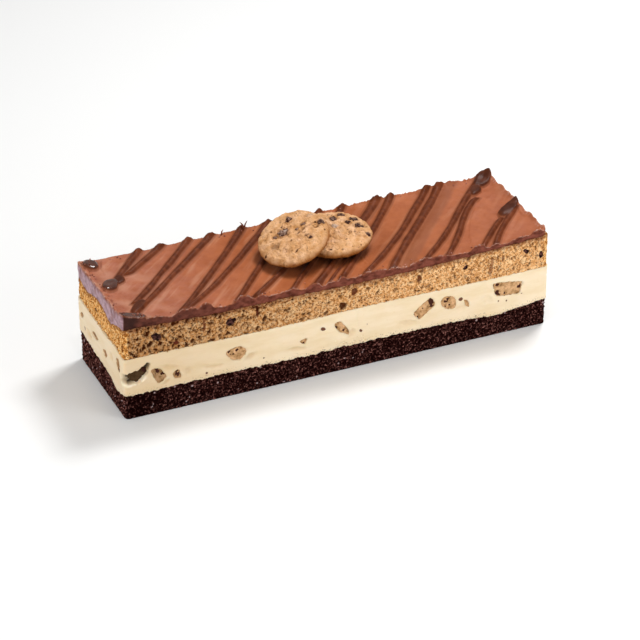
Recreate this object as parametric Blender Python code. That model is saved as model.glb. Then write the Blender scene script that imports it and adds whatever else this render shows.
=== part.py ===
"""Cookie cake: a bar of chocolate sponge, vanilla cream with pieces of cookie dough, golden sponge and a poured
chocolate topping with drizzled ropes, carrying two small cookies.

Units are metres, +Z is up. X runs along the cake, the front face looks along -Y, and the origin is the middle of
the flat underside.
"""

from dataclasses import dataclass
from math import atan2, copysign, cos, exp, hypot, pi, radians, sin, sqrt

import bmesh
import bpy
from mathutils import Matrix, Vector, noise

# The whole cake.
CAKE_LENGTH = 0.280
CAKE_WIDTH = 0.079
CORNER_RADIUS = 0.0024
SEAT_GAP = 0.0003  # air kept between neighbouring pieces
LENGTH_CELLS = 21  # columns of faces along the cake
WIDTH_CELLS = 6  # and across it, closer near the sides
CUT_MARGIN = 0.005  # from the outermost of these to the sides
CRUMB_SPACING = 0.006  # size of the uneven patches on a cut side
SHARP_ANGLE = radians(40)  # edges sharper than this are left unsmoothed

# The poured topping and what is drizzled on it.
TOPPING_LENGTH = CAKE_LENGTH - 0.003
TOPPING_WIDTH = CAKE_WIDTH - 0.001
TOPPING_SHIFT = -0.001  # its middle lies this far towards the left end
TOPPING_TOP = 0.0626  # the surface between the ropes near the front edge
TOPPING_RISE_BACK = 0.0016  # its rise from front to back at the left end
TOPPING_RISE_RIGHT = 0.0016  # and what the back edge gains on that by the right end
TOPPING_SWELL = 0.0005
TOPPING_SWELL_SPACING = 0.025
FRONT_LIP = -0.0004  # rise of the surface right at each edge
BACK_LIP_LEFT = 0.0004
BACK_LIP_RIGHT = 0.0023
LEFT_LIP_FRONT = 0.0064
LEFT_LIP_BACK = 0.0036
RIGHT_LIP = 0.0042
LIP_REACH = 0.0030
LEFT_LIP_REACH = 0.0075
RIGHT_LIP_REACH = 0.0050
ROPE_LIFT = 0.0003  # height of a rope's centre over the surface
ROPE_POINTS = 8
ROPE_SIDES = 8
SCALLOP_DEPTH = 0.0026  # how far a scallop of the front edge runs in from it
SUNK_SHARE = 0.40  # a pool's or scallop's depth under the surface, as a share of its rise over it
TRIM_ALLOWANCE = 0.0008  # the knife's block is this much longer and wider than the topping
TRIM_HEIGHT = 0.040
WELD_DISTANCE = 0.00001

# A lump: its unevenness as a share of its radius, and the spacing of the bumps in radii.
LUMP = 0.16
ROUGH_LUMP = 0.30
LUMP_SPACING = 0.625
# A dough piece.
LUMP_FULLNESS = 0.75  # exponent of its section: 1 is round, less is blockier
CORNER_SHARPNESS = 12  # power that joins the edges of its outline: more is sharper
DOUGH_DEPTH = 0.30  # how far it runs into the cake, as a share of its mean width, past DOUGH_LEAST_DEPTH
DOUGH_LEAST_DEPTH = 0.0010
SMALL_DOUGH = 0.0060  # pieces no wider than this have fewer faces
SMALL_GROWTH = 1.15  # and are drawn this much larger, for what those faces cut off
DOUGH_SINK = 0.35  # where its middle lies under the cut, as a share of that depth

# A cookie's section: the rim's fullness and the crown's flatness are exponents, where 1 gives an ellipse.
COOKIE_SEGMENTS = 32
COOKIE_RINGS = 12
RIM_FULLNESS = 0.60
CROWN_FLATNESS = 0.80
COOKIE_LUMP = 0.0005
COOKIE_LUMP_SPACING = 0.006
CHIP_SINK = 0.45  # how deep a chip's middle lies, as a share of its radius


@dataclass(frozen=True)
class Swell:
    """A local rise, or a fall where height is negative, of a seam between two layers."""

    x: float
    y: float
    height: float
    reach: float

    def rise(self, x, y):
        return self.height * exp(-((x - self.x) ** 2 + (y - self.y) ** 2) / self.reach ** 2)


@dataclass(frozen=True)
class Level:
    """The height of the seam between two layers: at the middle of the front, with its rises from left to right and
    from front to back, one slow wave along X, and the swells that show on the sides."""

    front: float
    rise_right: float
    rise_back: float
    wave: float
    pitch: float
    phase: float  # degrees
    swells: tuple = ()

    def height(self, x, y):
        slope = self.rise_right * x / CAKE_LENGTH + self.rise_back * (y / CAKE_WIDTH + 0.5)
        slow = self.wave * sin(2 * pi * x / self.pitch + radians(self.phase))
        return self.front + slope + slow + sum(swell.rise(x, y) for swell in self.swells)


def topping_surface(x, y):
    """The height of the topping between the ropes: it rises to the back and is turned up at its edges."""
    behind = y / TOPPING_WIDTH + 0.5
    eastward = (x - TOPPING_SHIFT) / TOPPING_LENGTH + 0.5
    tilt = (TOPPING_RISE_BACK + TOPPING_RISE_RIGHT * eastward) * behind
    swell = TOPPING_SWELL * noise.noise(Vector((x, y, 0)) / TOPPING_SWELL_SPACING)
    edges = (
        (FRONT_LIP, behind * TOPPING_WIDTH, LIP_REACH),
        (BACK_LIP_LEFT + (BACK_LIP_RIGHT - BACK_LIP_LEFT) * eastward, (1 - behind) * TOPPING_WIDTH, LIP_REACH),
        (LEFT_LIP_FRONT + (LEFT_LIP_BACK - LEFT_LIP_FRONT) * behind, eastward * TOPPING_LENGTH, LEFT_LIP_REACH),
        (RIGHT_LIP, (1 - eastward) * TOPPING_LENGTH, RIGHT_LIP_REACH),
    )
    return TOPPING_TOP + tilt + swell + sum(rise * exp(-max(0.0, far) / reach) for rise, far, reach in edges)


@dataclass(frozen=True)
class Rope:
    """One pass of the drizzle: where it crosses the front and back edges, how far its middle bows towards +X,
    how far it swings to +X and then to -X, and the share of the crossing at which it starts and stops."""

    front_x: float
    back_x: float
    bow: float = 0.0
    twist: float = 0.0
    start: float = -0.06
    stop: float = 1.06
    radius: float = 0.0021

    def point(self, share):
        """The centre of the rope at a share of the way from the front edge to the back edge."""
        straight = self.front_x + (self.back_x - self.front_x) * share
        x = straight + self.bow * sin(pi * share) + self.twist * sin(2 * pi * share)
        y = (share - 0.5) * CAKE_WIDTH
        return Vector((x, y, topping_surface(x, y) + ROPE_LIFT))


@dataclass(frozen=True)
class Pool:
    """A thick spot where the drizzle turned back: an ellipsoid half sunk in the topping."""

    x: float
    y: float
    along: float
    across: float
    turn: float = 45.0
    rise: float = 0.0026


@dataclass(frozen=True)
class Dough:
    """A piece of cookie dough cut through by a side of the cake, seen from outside that side."""

    side: str
    along: float  # X on the front and back, Y on the ends
    z: float
    corners: tuple  # of its outline, clockwise, each (to the right, up) from that place
    recess: float = 0.0

    def size(self):
        """The width and height of its outline."""
        return [max(corner[k] for corner in self.corners) - min(corner[k] for corner in self.corners)
                for k in range(2)]

    def reach(self, across, up):
        """How far its outline lies from its middle in a direction, with the corners rounded off a little."""
        nearness = 0.0
        for (ax, ay), (bx, by) in zip(self.corners, self.corners[1:] + self.corners[:1]):
            outward = (ay - by, bx - ax)
            facing = (outward[0] * across + outward[1] * up) / (outward[0] * ax + outward[1] * ay)
            nearness += max(0.0, facing) ** CORNER_SHARPNESS
        return nearness ** (-1 / CORNER_SHARPNESS)


@dataclass(frozen=True)
class Cookie:
    """A cookie: its middle, the X and Y of the unit vector its face looks along, and the chips on that face as
    (X, Y, radius) in its own frame."""

    centre: tuple
    faces: tuple
    radius: float
    thickness: float
    chips: tuple

    def matrix(self):
        """From the cookie's own frame to the cake's."""
        up = Vector((*self.faces, sqrt(1 - self.faces[0] ** 2 - self.faces[1] ** 2)))
        across = Vector((0, 1, 0)).cross(up).normalized()
        turned = Matrix((across, up.cross(across), up)).transposed().to_4x4()
        return Matrix.Translation(self.centre) @ turned

    def crown(self, x, y):
        """The height of its upper face over its middle."""
        share = min(1.0, hypot(x, y) / self.radius)
        return (1 - share ** (2 / RIM_FULLNESS)) ** (CROWN_FLATNESS / 2) * self.thickness / 2


SPONGE_CREAM = Level(0.0162, 0.0, 0.0050, 0.0003, 0.110, 0.0, swells=(
    Swell(0.105, -0.0395, -0.0021, 0.017), Swell(0.140, -0.0395, 0.0018, 0.014),
    Swell(-0.140, -0.0265, -0.0028, 0.007), Swell(0.140, 0.0150, -0.0020, 0.010),
    Swell(-0.040, 0.0395, -0.0018, 0.020)))
CREAM_GOLDEN = Level(0.0404, 0.0007, 0.0032, 0.0004, 0.150, 21.5, swells=(
    Swell(-0.140, -0.0215, 0.0015, 0.008),))
GOLDEN_TOPPING = Level(0.0599, 0.0027, -0.0022, 0.0025, 0.320, -126.4, swells=(
    Swell(-0.140, -0.0175, -0.0048, 0.010), Swell(-0.140, 0.0240, -0.0038, 0.013),
    Swell(0.140, 0.0080, -0.0015, 0.010), Swell(-0.090, -0.0395, -0.0024, 0.045)))

ROPES = (
    Rope(-0.1470, -0.0675, 0.0015, 0.0006, start=0.30),
    Rope(-0.1378, -0.0525, -0.0010, start=0.10),
    Rope(-0.1700, -0.0999, start=0.58),
    Rope(-0.1834, -0.0855, start=0.70),
    Rope(-0.1041, -0.0323, 0.0012),
    Rope(-0.1030, -0.0145, 0.0040, 0.0010),
    Rope(-0.0680, -0.0011, 0.0004),
    Rope(-0.0580, 0.0197, 0.0077),
    Rope(-0.0330, 0.0355, 0.0022),
    Rope(-0.0170, 0.0592, 0.0010, radius=0.0024),
    Rope(-0.0010, 0.0690, 0.0015),
    Rope(0.0145, 0.0940, 0.0040, 0.0011),
    Rope(0.0326, 0.1028, 0.0, -0.0004),
    Rope(0.0542, 0.1324, 0.0012, 0.0015),
    Rope(0.0698, 0.1506, -0.0092, 0.0031, stop=0.70),
    Rope(0.0930, 0.1925, -0.0083, stop=0.34),
    Rope(0.1021, 0.2145, -0.0170, stop=0.42),
)

POOLS = (
    Pool(-0.1315, -0.0360, 0.0084, 0.0054, 5, 0.0034),
    Pool(-0.1235, -0.0235, 0.0095, 0.0036, 48, 0.0023),
    Pool(-0.1306, 0.0045, 0.0092, 0.0046, 58, 0.0028),
    Pool(-0.1232, 0.0103, 0.0060, 0.0036, 50, 0.0022),
    Pool(-0.1332, 0.0315, 0.0062, 0.0049, 75, 0.0031),
    Pool(0.1310, 0.0340, 0.0090, 0.0050, 35, 0.0028),
    Pool(0.1215, 0.0255, 0.0075, 0.0036, 45),
    Pool(0.1293, -0.0043, 0.0108, 0.0048, 33, 0.0028),
)

# The scallops that the knife raised on the topping's front edge: (middle, width, rise).
SCALLOPS = (
    (-0.1190, 0.0140, 0.0022),
    (-0.0990, 0.0130, 0.0026),
    (-0.0875, 0.0080, 0.0038),
    (-0.0635, 0.0090, 0.0038),
    (0.0580, 0.0220, 0.0022),
    (0.0910, 0.0090, 0.0029),
    (0.1210, 0.0160, 0.0023),
    (0.1310, 0.0080, 0.0036),
)

FRONT_AND_LEFT_DOUGH = (
    Dough("front", -0.1313, 0.0270, (
        (-0.0056, 0.0042), (0.0068, 0.0043), (0.0075, 0.0020), (0.0005, -0.0046), (-0.0045, -0.0020),
        (-0.0056, 0.0012)), recess=0.0022),
    Dough("front", -0.1183, 0.0253, (
        (-0.0054, 0.0053), (-0.0014, 0.0060), (0.0009, 0.0046), (0.0054, -0.0012), (0.0045, -0.0032),
        (0.0005, -0.0060), (-0.0010, -0.0052))),
    Dough("front", -0.1067, 0.0229, (
        (-0.0031, 0.0014), (0.0001, 0.0036), (0.0021, 0.0023), (0.0029, -0.0030), (-0.0020, -0.0020))),
    Dough("front", -0.0693, 0.0280, (
        (-0.0070, 0.0026), (-0.0029, 0.0046), (0.0019, 0.0051), (0.0066, 0.0031), (0.0070, -0.0004),
        (0.0033, -0.0051), (-0.0030, -0.0034))),
    Dough("front", -0.0255, 0.0261, (
        (-0.0025, 0.0009), (0.0016, 0.0021), (0.0025, 0.0006), (0.0008, -0.0021), (-0.0016, -0.0010))),
    Dough("front", -0.0002, 0.0295, (
        (-0.0048, 0.0045), (-0.0019, 0.0056), (0.0043, -0.0024), (0.0048, -0.0056), (0.0010, -0.0047),
        (-0.0044, 0.0010))),
    Dough("front", 0.0548, 0.0297, (
        (-0.0078, -0.0011), (0.0029, 0.0069), (0.0059, 0.0062), (0.0078, 0.0034), (0.0075, 0.0007),
        (-0.0032, -0.0069), (-0.0059, -0.0055))),
    Dough("front", 0.0714, 0.0303, (
        (-0.0057, 0.0025), (-0.0032, 0.0050), (0.0021, 0.0046), (0.0049, 0.0020), (0.0057, -0.0017),
        (0.0047, -0.0050), (0.0001, -0.0050), (-0.0049, -0.0016))),
    Dough("front", 0.0837, 0.0271, (
        (-0.0022, 0.0032), (0.0004, 0.0022), (0.0018, -0.0002), (0.0020, -0.0032), (-0.0002, -0.0020))),
    Dough("front", 0.1118, 0.0313, (
        (-0.0112, 0.0058), (-0.0062, 0.0056), (0.0112, 0.0024), (0.0101, -0.0060), (-0.0082, -0.0045))),
    Dough("left", 0.0326, 0.0334, (
        (-0.0033, 0.0001), (0.0004, 0.0025), (0.0033, 0.0018), (0.0010, -0.0015), (-0.0025, -0.0025))),
    Dough("left", 0.0095, 0.0314, (
        (-0.0055, 0.0002), (-0.0008, 0.0023), (0.0055, 0.0001), (0.0019, -0.0023), (-0.0035, -0.0018))),
    Dough("left", -0.0074, 0.0283, (
        (-0.0041, 0.0010), (0.0016, 0.0032), (0.0041, 0.0003), (0.0008, -0.0032), (-0.0033, -0.0016))),
    Dough("left", -0.0302, 0.0330, (
        (-0.0035, 0.0031), (0.0014, 0.0048), (0.0034, 0.0004), (0.0024, -0.0044), (-0.0004, -0.0044),
        (-0.0031, -0.0008))),
)
BACK_DOUGH_COUNT = 7
RIGHT_DOUGH_COUNT = 2
DOUGH_Z = 0.0300
DOUGH_SMALLEST = 0.0055
DOUGH_LARGEST = 0.0180
DOUGH_CORNERS = 6
DOUGH_TALLNESS = 0.55  # height as a share of the width, more or less by DOUGH_TALLNESS_SPREAD
DOUGH_TALLNESS_SPREAD = 0.25
DOUGH_CORNER_SPREAD = 0.22  # a corner's distance from the middle varies by this share
DOUGH_SHIFT = 0.006  # most that one is moved along the side
DOUGH_CLIMB = 0.004  # and up or down
DOUGH_SIZE_STEP = 5.1  # turns the pieces' sizes through a sine, in radians for each
DOUGH_SIZE_POWER = 1.4  # more than 1 makes small ones commoner
DICE_SPACING = (3.37, 7.7)  # steps through the noise field between pieces and between their draws
DICE_START = Vector((0.5, 0.0, 0.3))

# The torn hollow at the front left corner of the cream.
TORN_RADII = (0.0085, 0.0045, 0.0058)
TORN_MIDDLE = (-0.1335, 0.0290)
TORN_TURN = -12.0
TORN_SEED = 40
CHIP_FLATNESS = 0.7  # depth of a chip in the sponge, as a share of its radius

# Chocolate chips cut through by the sides of the golden sponge: (side, along, z, radius).
SPONGE_CHIPS = (
    ("front", -0.1185, 0.0515, 0.0034),
    ("front", -0.1070, 0.0447, 0.0022),
    ("front", -0.0720, 0.0510, 0.0030),
    ("front", -0.0550, 0.0540, 0.0018),
    ("front", 0.0070, 0.0525, 0.0022),
    ("front", 0.0510, 0.0510, 0.0020),
    ("front", 0.0825, 0.0525, 0.0022),
    ("front", 0.1240, 0.0540, 0.0020),
    ("front", 0.1345, 0.0495, 0.0022),
    ("left", 0.0080, 0.0500, 0.0020),
    ("left", -0.0330, 0.0500, 0.0024),
    ("back", -0.1000, 0.0520, 0.0030),
    ("back", -0.0480, 0.0500, 0.0024),
    ("back", 0.0150, 0.0495, 0.0026),
    ("back", 0.0720, 0.0500, 0.0020),
    ("right", -0.0180, 0.0520, 0.0024),
    ("right", 0.0220, 0.0500, 0.0020),
)

COOKIES = {
    "cookie_lower": Cookie((0.0113, -0.0010, 0.07156), (-0.039, -0.068), 0.0235, 0.0096, chips=(
        (0.0046, 0.0109, 0.0018), (0.0110, 0.0130, 0.0016), (0.0112, 0.0036, 0.0015), (0.0161, 0.0059, 0.0017),
        (0.0157, -0.0020, 0.0017), (0.0176, -0.0110, 0.0015), (0.0014, -0.0046, 0.0012),
        (-0.0098, -0.0160, 0.0013))),
    "cookie_upper": Cookie((-0.0159, -0.0034, 0.07628), (-0.359, -0.160), 0.0221, 0.0089, chips=(
        (0.0039, 0.0123, 0.0017), (-0.0036, 0.0050, 0.0023), (0.0182, -0.0020, 0.0017), (0.0092, 0.0024, 0.0017),
        (0.0043, 0.0014, 0.0012), (-0.0093, 0.0051, 0.0013), (0.0080, -0.0099, 0.0012),
        (0.0155, 0.0067, 0.0015))),
}

SIDES = {  # the outward direction of each side and its distance from the middle
    "front": (Vector((0, -1, 0)), CAKE_WIDTH / 2),
    "back": (Vector((0, 1, 0)), CAKE_WIDTH / 2),
    "left": (Vector((-1, 0, 0)), CAKE_LENGTH / 2),
    "right": (Vector((1, 0, 0)), CAKE_LENGTH / 2),
}

COLOURS = {  # linear RGB and roughness of each material
    "chocolate_sponge": ((0.030, 0.010, 0.007), 0.95),
    "vanilla_cream": ((0.85, 0.70, 0.42), 0.50),
    "golden_sponge": ((0.55, 0.29, 0.10), 0.95),
    "chocolate_topping": ((0.26, 0.09, 0.040), 0.35),
    "cookie": ((0.60, 0.30, 0.12), 0.85),
    "cookie_dough": ((0.45, 0.28, 0.13), 0.80),
}


def clear_scene():
    """Removes every object of the file it runs in."""
    for old in list(bpy.data.objects):
        bpy.data.objects.remove(old, do_unlink=True)


def new_collection(name, hidden=False):
    """A collection under the scene's own; a hidden one holds cutters."""
    made = bpy.data.collections.new(name)
    made.hide_render = hidden
    bpy.context.scene.collection.children.link(made)
    return made


def material(name):
    """A Principled material with the colour and roughness listed under that name."""
    found = bpy.data.materials.get(name)
    if found:
        return found
    made = bpy.data.materials.new(name)
    made.use_nodes = True
    (red, green, blue), roughness = COLOURS[name]
    shader = made.node_tree.nodes["Principled BSDF"]
    shader.inputs["Base Color"].default_value = (red, green, blue, 1.0)
    shader.inputs["Roughness"].default_value = roughness
    return made


def object_of(shape, name, collection, finish=None):
    """A bmesh made into a named object of that collection."""
    bmesh.ops.recalc_face_normals(shape, faces=shape.faces)
    if shape.calc_volume(signed=True) < 0:
        bmesh.ops.reverse_faces(shape, faces=shape.faces)
    mesh = bpy.data.meshes.new(name)
    shape.to_mesh(mesh)
    shape.free()
    mesh.shade_smooth()
    mesh.set_sharp_from_angle(angle=SHARP_ANGLE)
    made = bpy.data.objects.new(name, mesh)
    if finish:
        mesh.materials.append(material(finish))
    collection.objects.link(made)
    return made


def keep_largest_shell(mesh):
    """Takes away what a join sealed inside a piece or cut loose from it."""
    shape = bmesh.new()
    shape.from_mesh(mesh)
    unseen = set(shape.verts)
    shells = []
    while unseen:
        reached = [unseen.pop()]
        for vertex in reached:  # the list grows as neighbours are found
            found = {edge.other_vert(vertex) for edge in vertex.link_edges} & unseen
            unseen -= found
            reached += sorted(found, key=lambda other: other.index)
        shells.append(reached)
    shells.sort(key=len)
    bmesh.ops.delete(shape, geom=[vertex for shell in shells[:-1] for vertex in shell], context="VERTS")
    shape.to_mesh(mesh)
    shape.free()


def combine(base, others, operation, solver="EXACT"):
    """Joins or cuts base with all of a list of objects at once, and removes them."""
    tools = new_collection("tools_of_" + base.name)
    for other in others:
        for owner in list(other.users_collection):
            owner.objects.unlink(other)
        tools.objects.link(other)
    boolean = base.modifiers.new(operation.lower(), "BOOLEAN")
    boolean.operation = operation
    boolean.operand_type = "COLLECTION"
    boolean.collection = tools
    boolean.solver = solver
    seen = base.evaluated_get(bpy.context.evaluated_depsgraph_get())
    base.data = bpy.data.meshes.new_from_object(seen)
    base.modifiers.clear()
    keep_largest_shell(base.data)
    for other in list(tools.objects):
        bpy.data.objects.remove(other, do_unlink=True)
    bpy.data.collections.remove(tools)
    return base


def cut_block(length, width, rows, shift):
    """A unit-high block with rounded upright edges, cut into cells along X, Y and Z.

    The cuts along X and Y are the same in every layer, and so are the diagonals of the level cells: seams meet.
    """
    block = bmesh.new()
    bmesh.ops.create_cube(block, size=1.0)
    for vertex in block.verts:
        vertex.co = Vector((vertex.co.x * length + shift, vertex.co.y * width, vertex.co.z + 0.5))
    uprights = [edge for edge in block.edges if abs(edge.verts[0].co.z - edge.verts[1].co.z) > 0.5]
    bmesh.ops.bevel(block, geom=uprights, offset=CORNER_RADIUS, segments=2, profile=0.5, affect="EDGES")
    outer_x, outer_y = CAKE_LENGTH / 2 - CUT_MARGIN, CAKE_WIDTH / 2 - CUT_MARGIN
    cuts = [(Vector((outer_x * (2 * k / LENGTH_CELLS - 1), 0, 0)), Vector((1, 0, 0)))
            for k in range(LENGTH_CELLS + 1)]
    cuts += [(Vector((0, -outer_y * cos(pi * k / WIDTH_CELLS), 0)), Vector((0, 1, 0)))
             for k in range(WIDTH_CELLS + 1)]
    cuts += [(Vector((0, 0, k / rows)), Vector((0, 0, 1))) for k in range(1, rows)]
    for place, direction in cuts:
        bmesh.ops.bisect_plane(block, geom=list(block.verts) + list(block.edges) + list(block.faces),
                               plane_co=place, plane_no=direction)
    block.normal_update()
    for face in [face for face in block.faces if abs(face.normal.z) > 0.5 and len(face.verts) == 4]:
        ends = sorted(face.verts, key=lambda vertex: vertex.co.x + vertex.co.y)
        bmesh.utils.face_split(face, ends[0], ends[-1])
    return block


def layer(name, length, width, floor, ceiling, rows, crag, seed, collection, shift=0.0):
    """One layer of the cake.

    Its underside follows floor(x, y) and its top ceiling(x, y). Its cut sides are pushed in and out by up to
    crag, in patches of CRUMB_SPACING. It is moved along X by shift.
    """
    block = cut_block(length, width, rows, shift)
    offset = Vector((seed * 7.3, seed * 3.1, seed * 5.7))
    for vertex in block.verts:
        x, y, share = vertex.co
        if abs(x - shift) > length / 2 - CORNER_RADIUS or abs(y) > width / 2 - CORNER_RADIUS:
            z = floor(x, y) + (ceiling(x, y) - floor(x, y)) * share
            patch = crag * noise.noise_vector(Vector((x, y, z)) / CRUMB_SPACING + offset)
            x, y = x + patch.x, y + patch.y
        low, high = floor(x, y), ceiling(x, y)
        vertex.co = Vector((x, y, low + (high - low) * share))
    return object_of(block, name, collection, name)


def lumpy_ball(radii, lump, seed, subdivisions):
    """An icosphere stretched to three radii, with slow bumps."""
    ball = bmesh.new()
    bmesh.ops.create_icosphere(ball, subdivisions=subdivisions, radius=1.0)
    for vertex in ball.verts:
        direction = vertex.co.normalized()
        bump = lump_bump(direction, lump, seed)
        vertex.co = Vector([direction[k] * radii[k] * bump for k in range(3)])
    return ball


def lump_bump(direction, lump, seed):
    """How much farther out than its mean a lump's skin lies in a direction."""
    offset = Vector((seed * 1.7, seed * 2.9, seed * 4.3))
    return 1.0 + lump * noise.noise(direction / LUMP_SPACING + offset)


def side_frame(side, along, z):
    """The matrix that puts local X along a side, local Y into the cake and local Z up, at a place on the side."""
    outward, distance = SIDES[side]
    inward = -outward
    across = inward.cross(Vector((0, 0, 1)))
    place = outward * distance + (Vector((along, 0, z)) if outward.y else Vector((0, along, z)))
    turned = Matrix((across, inward, Vector((0, 0, 1)))).transposed().to_4x4()
    return Matrix.Translation(place) @ turned


def dough_shape(piece, seed, grow, flush):
    """A dough piece or, grown by the gap and not cut flush, the cutter of its pocket."""
    depth = DOUGH_DEPTH * sum(piece.size()) / 2 + DOUGH_LEAST_DEPTH
    ball = bmesh.new()
    subdivisions, growth = (2, 1.0) if piece.size()[0] > SMALL_DOUGH else (1, SMALL_GROWTH)
    bmesh.ops.create_icosphere(ball, subdivisions=subdivisions, radius=1.0)
    for vertex in ball.verts:
        way = vertex.co.normalized()
        bump = growth * lump_bump(way, LUMP, seed)
        wide = hypot(way.x, way.z)
        angle = atan2(way.z, way.x)
        out = wide ** LUMP_FULLNESS * (piece.reach(cos(angle), sin(angle)) * bump + grow)
        into = copysign(abs(way.y) ** LUMP_FULLNESS * (depth * bump + grow), way.y)
        vertex.co = Vector((out * cos(angle), into + DOUGH_SINK * depth + piece.recess, out * sin(angle)))
    if flush:
        cut = bmesh.ops.bisect_plane(ball, geom=list(ball.verts) + list(ball.edges) + list(ball.faces),
                                     plane_co=(0, piece.recess, 0), plane_no=(0, -1, 0), clear_outer=True)
        rim = [part for part in cut["geom_cut"] if isinstance(part, bmesh.types.BMEdge)]
        bmesh.ops.contextual_create(ball, geom=rim)
    ball.transform(side_frame(piece.side, piece.along, piece.z))
    return ball


def dice(piece, draw, side):
    """A seeded number from about -1 to 1 for one draw of one piece on a side."""
    return noise.noise(Vector((piece * DICE_SPACING[0], draw * DICE_SPACING[1] + len(side), 0)) + DICE_START)


def spread_dough(side, count, first, last):
    """Dough pieces along a side that doesn't show: evenly spaced, with seeded offsets, sizes and corners."""
    pieces = []
    rise = CREAM_GOLDEN.rise_back / 2 if side == "back" else 0.0
    for k in range(count):
        along = first + (last - first) * (k + 0.5) / count + DOUGH_SHIFT * dice(k, 0, side)
        share = (0.5 + 0.5 * sin(DOUGH_SIZE_STEP * k + 1)) ** DOUGH_SIZE_POWER
        wide = DOUGH_SMALLEST + (DOUGH_LARGEST - DOUGH_SMALLEST) * share
        tall = wide * (DOUGH_TALLNESS + DOUGH_TALLNESS_SPREAD * dice(k, 2, side))
        corners = []
        for corner in range(DOUGH_CORNERS):
            angle = radians(60 * dice(k, 3, side)) - 2 * pi * corner / DOUGH_CORNERS
            far = 1.0 + DOUGH_CORNER_SPREAD * dice(k, 4 + corner, side)
            corners.append((wide / 2 * far * cos(angle), tall / 2 * far * sin(angle)))
        pieces.append(Dough(side, along, DOUGH_Z + rise + DOUGH_CLIMB * dice(k, 1, side), tuple(corners)))
    return pieces


def build_cream(dough, collection):
    """The cream layer, with a pocket for each dough piece and a torn hollow at the front left corner."""
    cream = layer("vanilla_cream", CAKE_LENGTH, CAKE_WIDTH,
                  lambda x, y: SPONGE_CREAM.height(x, y) + SEAT_GAP / 2,
                  lambda x, y: CREAM_GOLDEN.height(x, y) - SEAT_GAP / 2,
                  2, 0.0002, 2, collection)
    cutters = [object_of(dough_shape(piece, seed, SEAT_GAP, False), "pocket", collection)
               for seed, piece in enumerate(dough)]
    torn = lumpy_ball(TORN_RADII, ROUGH_LUMP, TORN_SEED, 2)
    torn.transform(side_frame("front", *TORN_MIDDLE) @ Matrix.Rotation(radians(TORN_TURN), 4, "Y"))
    cutters.append(object_of(torn, "torn_hollow", collection))
    return combine(cream, cutters, "DIFFERENCE")


def build_golden_sponge(collection):
    """The golden sponge, with the chocolate chips that show on its cut sides."""
    sponge = layer("golden_sponge", CAKE_LENGTH - 0.001, CAKE_WIDTH,
                   lambda x, y: CREAM_GOLDEN.height(x, y) + SEAT_GAP / 2,
                   lambda x, y: GOLDEN_TOPPING.height(x, y) - SEAT_GAP / 2,
                   3, 0.0005, 3, collection)
    chips = []
    for seed, (side, along, z, radius) in enumerate(SPONGE_CHIPS):
        chip = lumpy_ball((radius, radius * CHIP_FLATNESS, radius), ROUGH_LUMP, seed + 60, 1)
        chip.transform(side_frame(side, along, z) @ Matrix.Translation((0, CHIP_SINK * radius, 0)))
        chips.append(object_of(chip, "chip", collection))
    return combine(sponge, chips, "UNION")


def rope_object(rope, collection):
    """A drizzled rope as a closed mesh: a POLY curve with a round bevel, its caps welded."""
    curve = bpy.data.curves.new("rope", "CURVE")
    curve.dimensions = "3D"
    curve.bevel_depth = rope.radius
    curve.bevel_resolution = ROPE_SIDES // 4 - 1
    curve.use_fill_caps = True
    spline = curve.splines.new("POLY")
    count = max(3, round(ROPE_POINTS * (rope.stop - rope.start)))
    spline.points.add(count - 1)
    for k, place in enumerate(spline.points):
        share = rope.start + (rope.stop - rope.start) * k / (count - 1)
        place.co = (*rope.point(share), 1.0)
    drawn = bpy.data.objects.new("rope", curve)
    collection.objects.link(drawn)
    mesh = bpy.data.meshes.new_from_object(drawn.evaluated_get(bpy.context.evaluated_depsgraph_get()))
    bpy.data.objects.remove(drawn, do_unlink=True)
    shape = bmesh.new()
    shape.from_mesh(mesh)
    bmesh.ops.remove_doubles(shape, verts=shape.verts, dist=WELD_DISTANCE)
    return object_of(shape, "rope", collection)


def dome(radii, x, y, turn, seed, subdivisions, collection):
    """A lumpy dome on the topping with a shallower foot sunk into it, turned about its upright by some degrees."""
    ball = lumpy_ball(radii, LUMP, seed, subdivisions)
    for vertex in ball.verts:
        vertex.co.z *= SUNK_SHARE if vertex.co.z < 0 else 1.0
    place = Matrix.Translation((x, y, topping_surface(x, y)))
    ball.transform(place @ Matrix.Rotation(radians(turn), 4, "Z"))
    return object_of(ball, "dome", collection)


def build_topping(collection):
    """The topping: a slab with its drizzle and the scallops of its front edge fused on, trimmed as it was cut."""
    topping = layer("chocolate_topping", TOPPING_LENGTH, TOPPING_WIDTH,
                    lambda x, y: GOLDEN_TOPPING.height(x, y) + SEAT_GAP / 2, topping_surface,
                    1, 0.0002, 5, collection, TOPPING_SHIFT)
    extras = [rope_object(rope, collection) for rope in ROPES]
    for seed, pool in enumerate(POOLS):
        radii = (pool.along, pool.across, pool.rise)
        extras.append(dome(radii, pool.x, pool.y, pool.turn, seed + 80, 2, collection))
    for seed, (x, wide, rise) in enumerate(SCALLOPS):
        radii = (wide / 2, SCALLOP_DEPTH, rise)
        extras.append(dome(radii, x, -TOPPING_WIDTH / 2, 0.0, seed + 100, 1, collection))
    combine(topping, extras, "UNION", "MANIFOLD")
    trim = bmesh.new()
    bmesh.ops.create_cube(trim, size=1.0)
    for vertex in trim.verts:
        vertex.co = Vector((vertex.co.x * (TOPPING_LENGTH + TRIM_ALLOWANCE) + TOPPING_SHIFT,
                            vertex.co.y * (TOPPING_WIDTH + TRIM_ALLOWANCE),
                            vertex.co.z * TRIM_HEIGHT + TOPPING_TOP))
    uprights = [edge for edge in trim.edges if abs(edge.verts[0].co.z - edge.verts[1].co.z) > TRIM_HEIGHT / 2]
    bmesh.ops.bevel(trim, geom=uprights, offset=CORNER_RADIUS, segments=2, profile=0.5, affect="EDGES")
    return combine(topping, [object_of(trim, "trim", collection)], "INTERSECT", "MANIFOLD")


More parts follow.
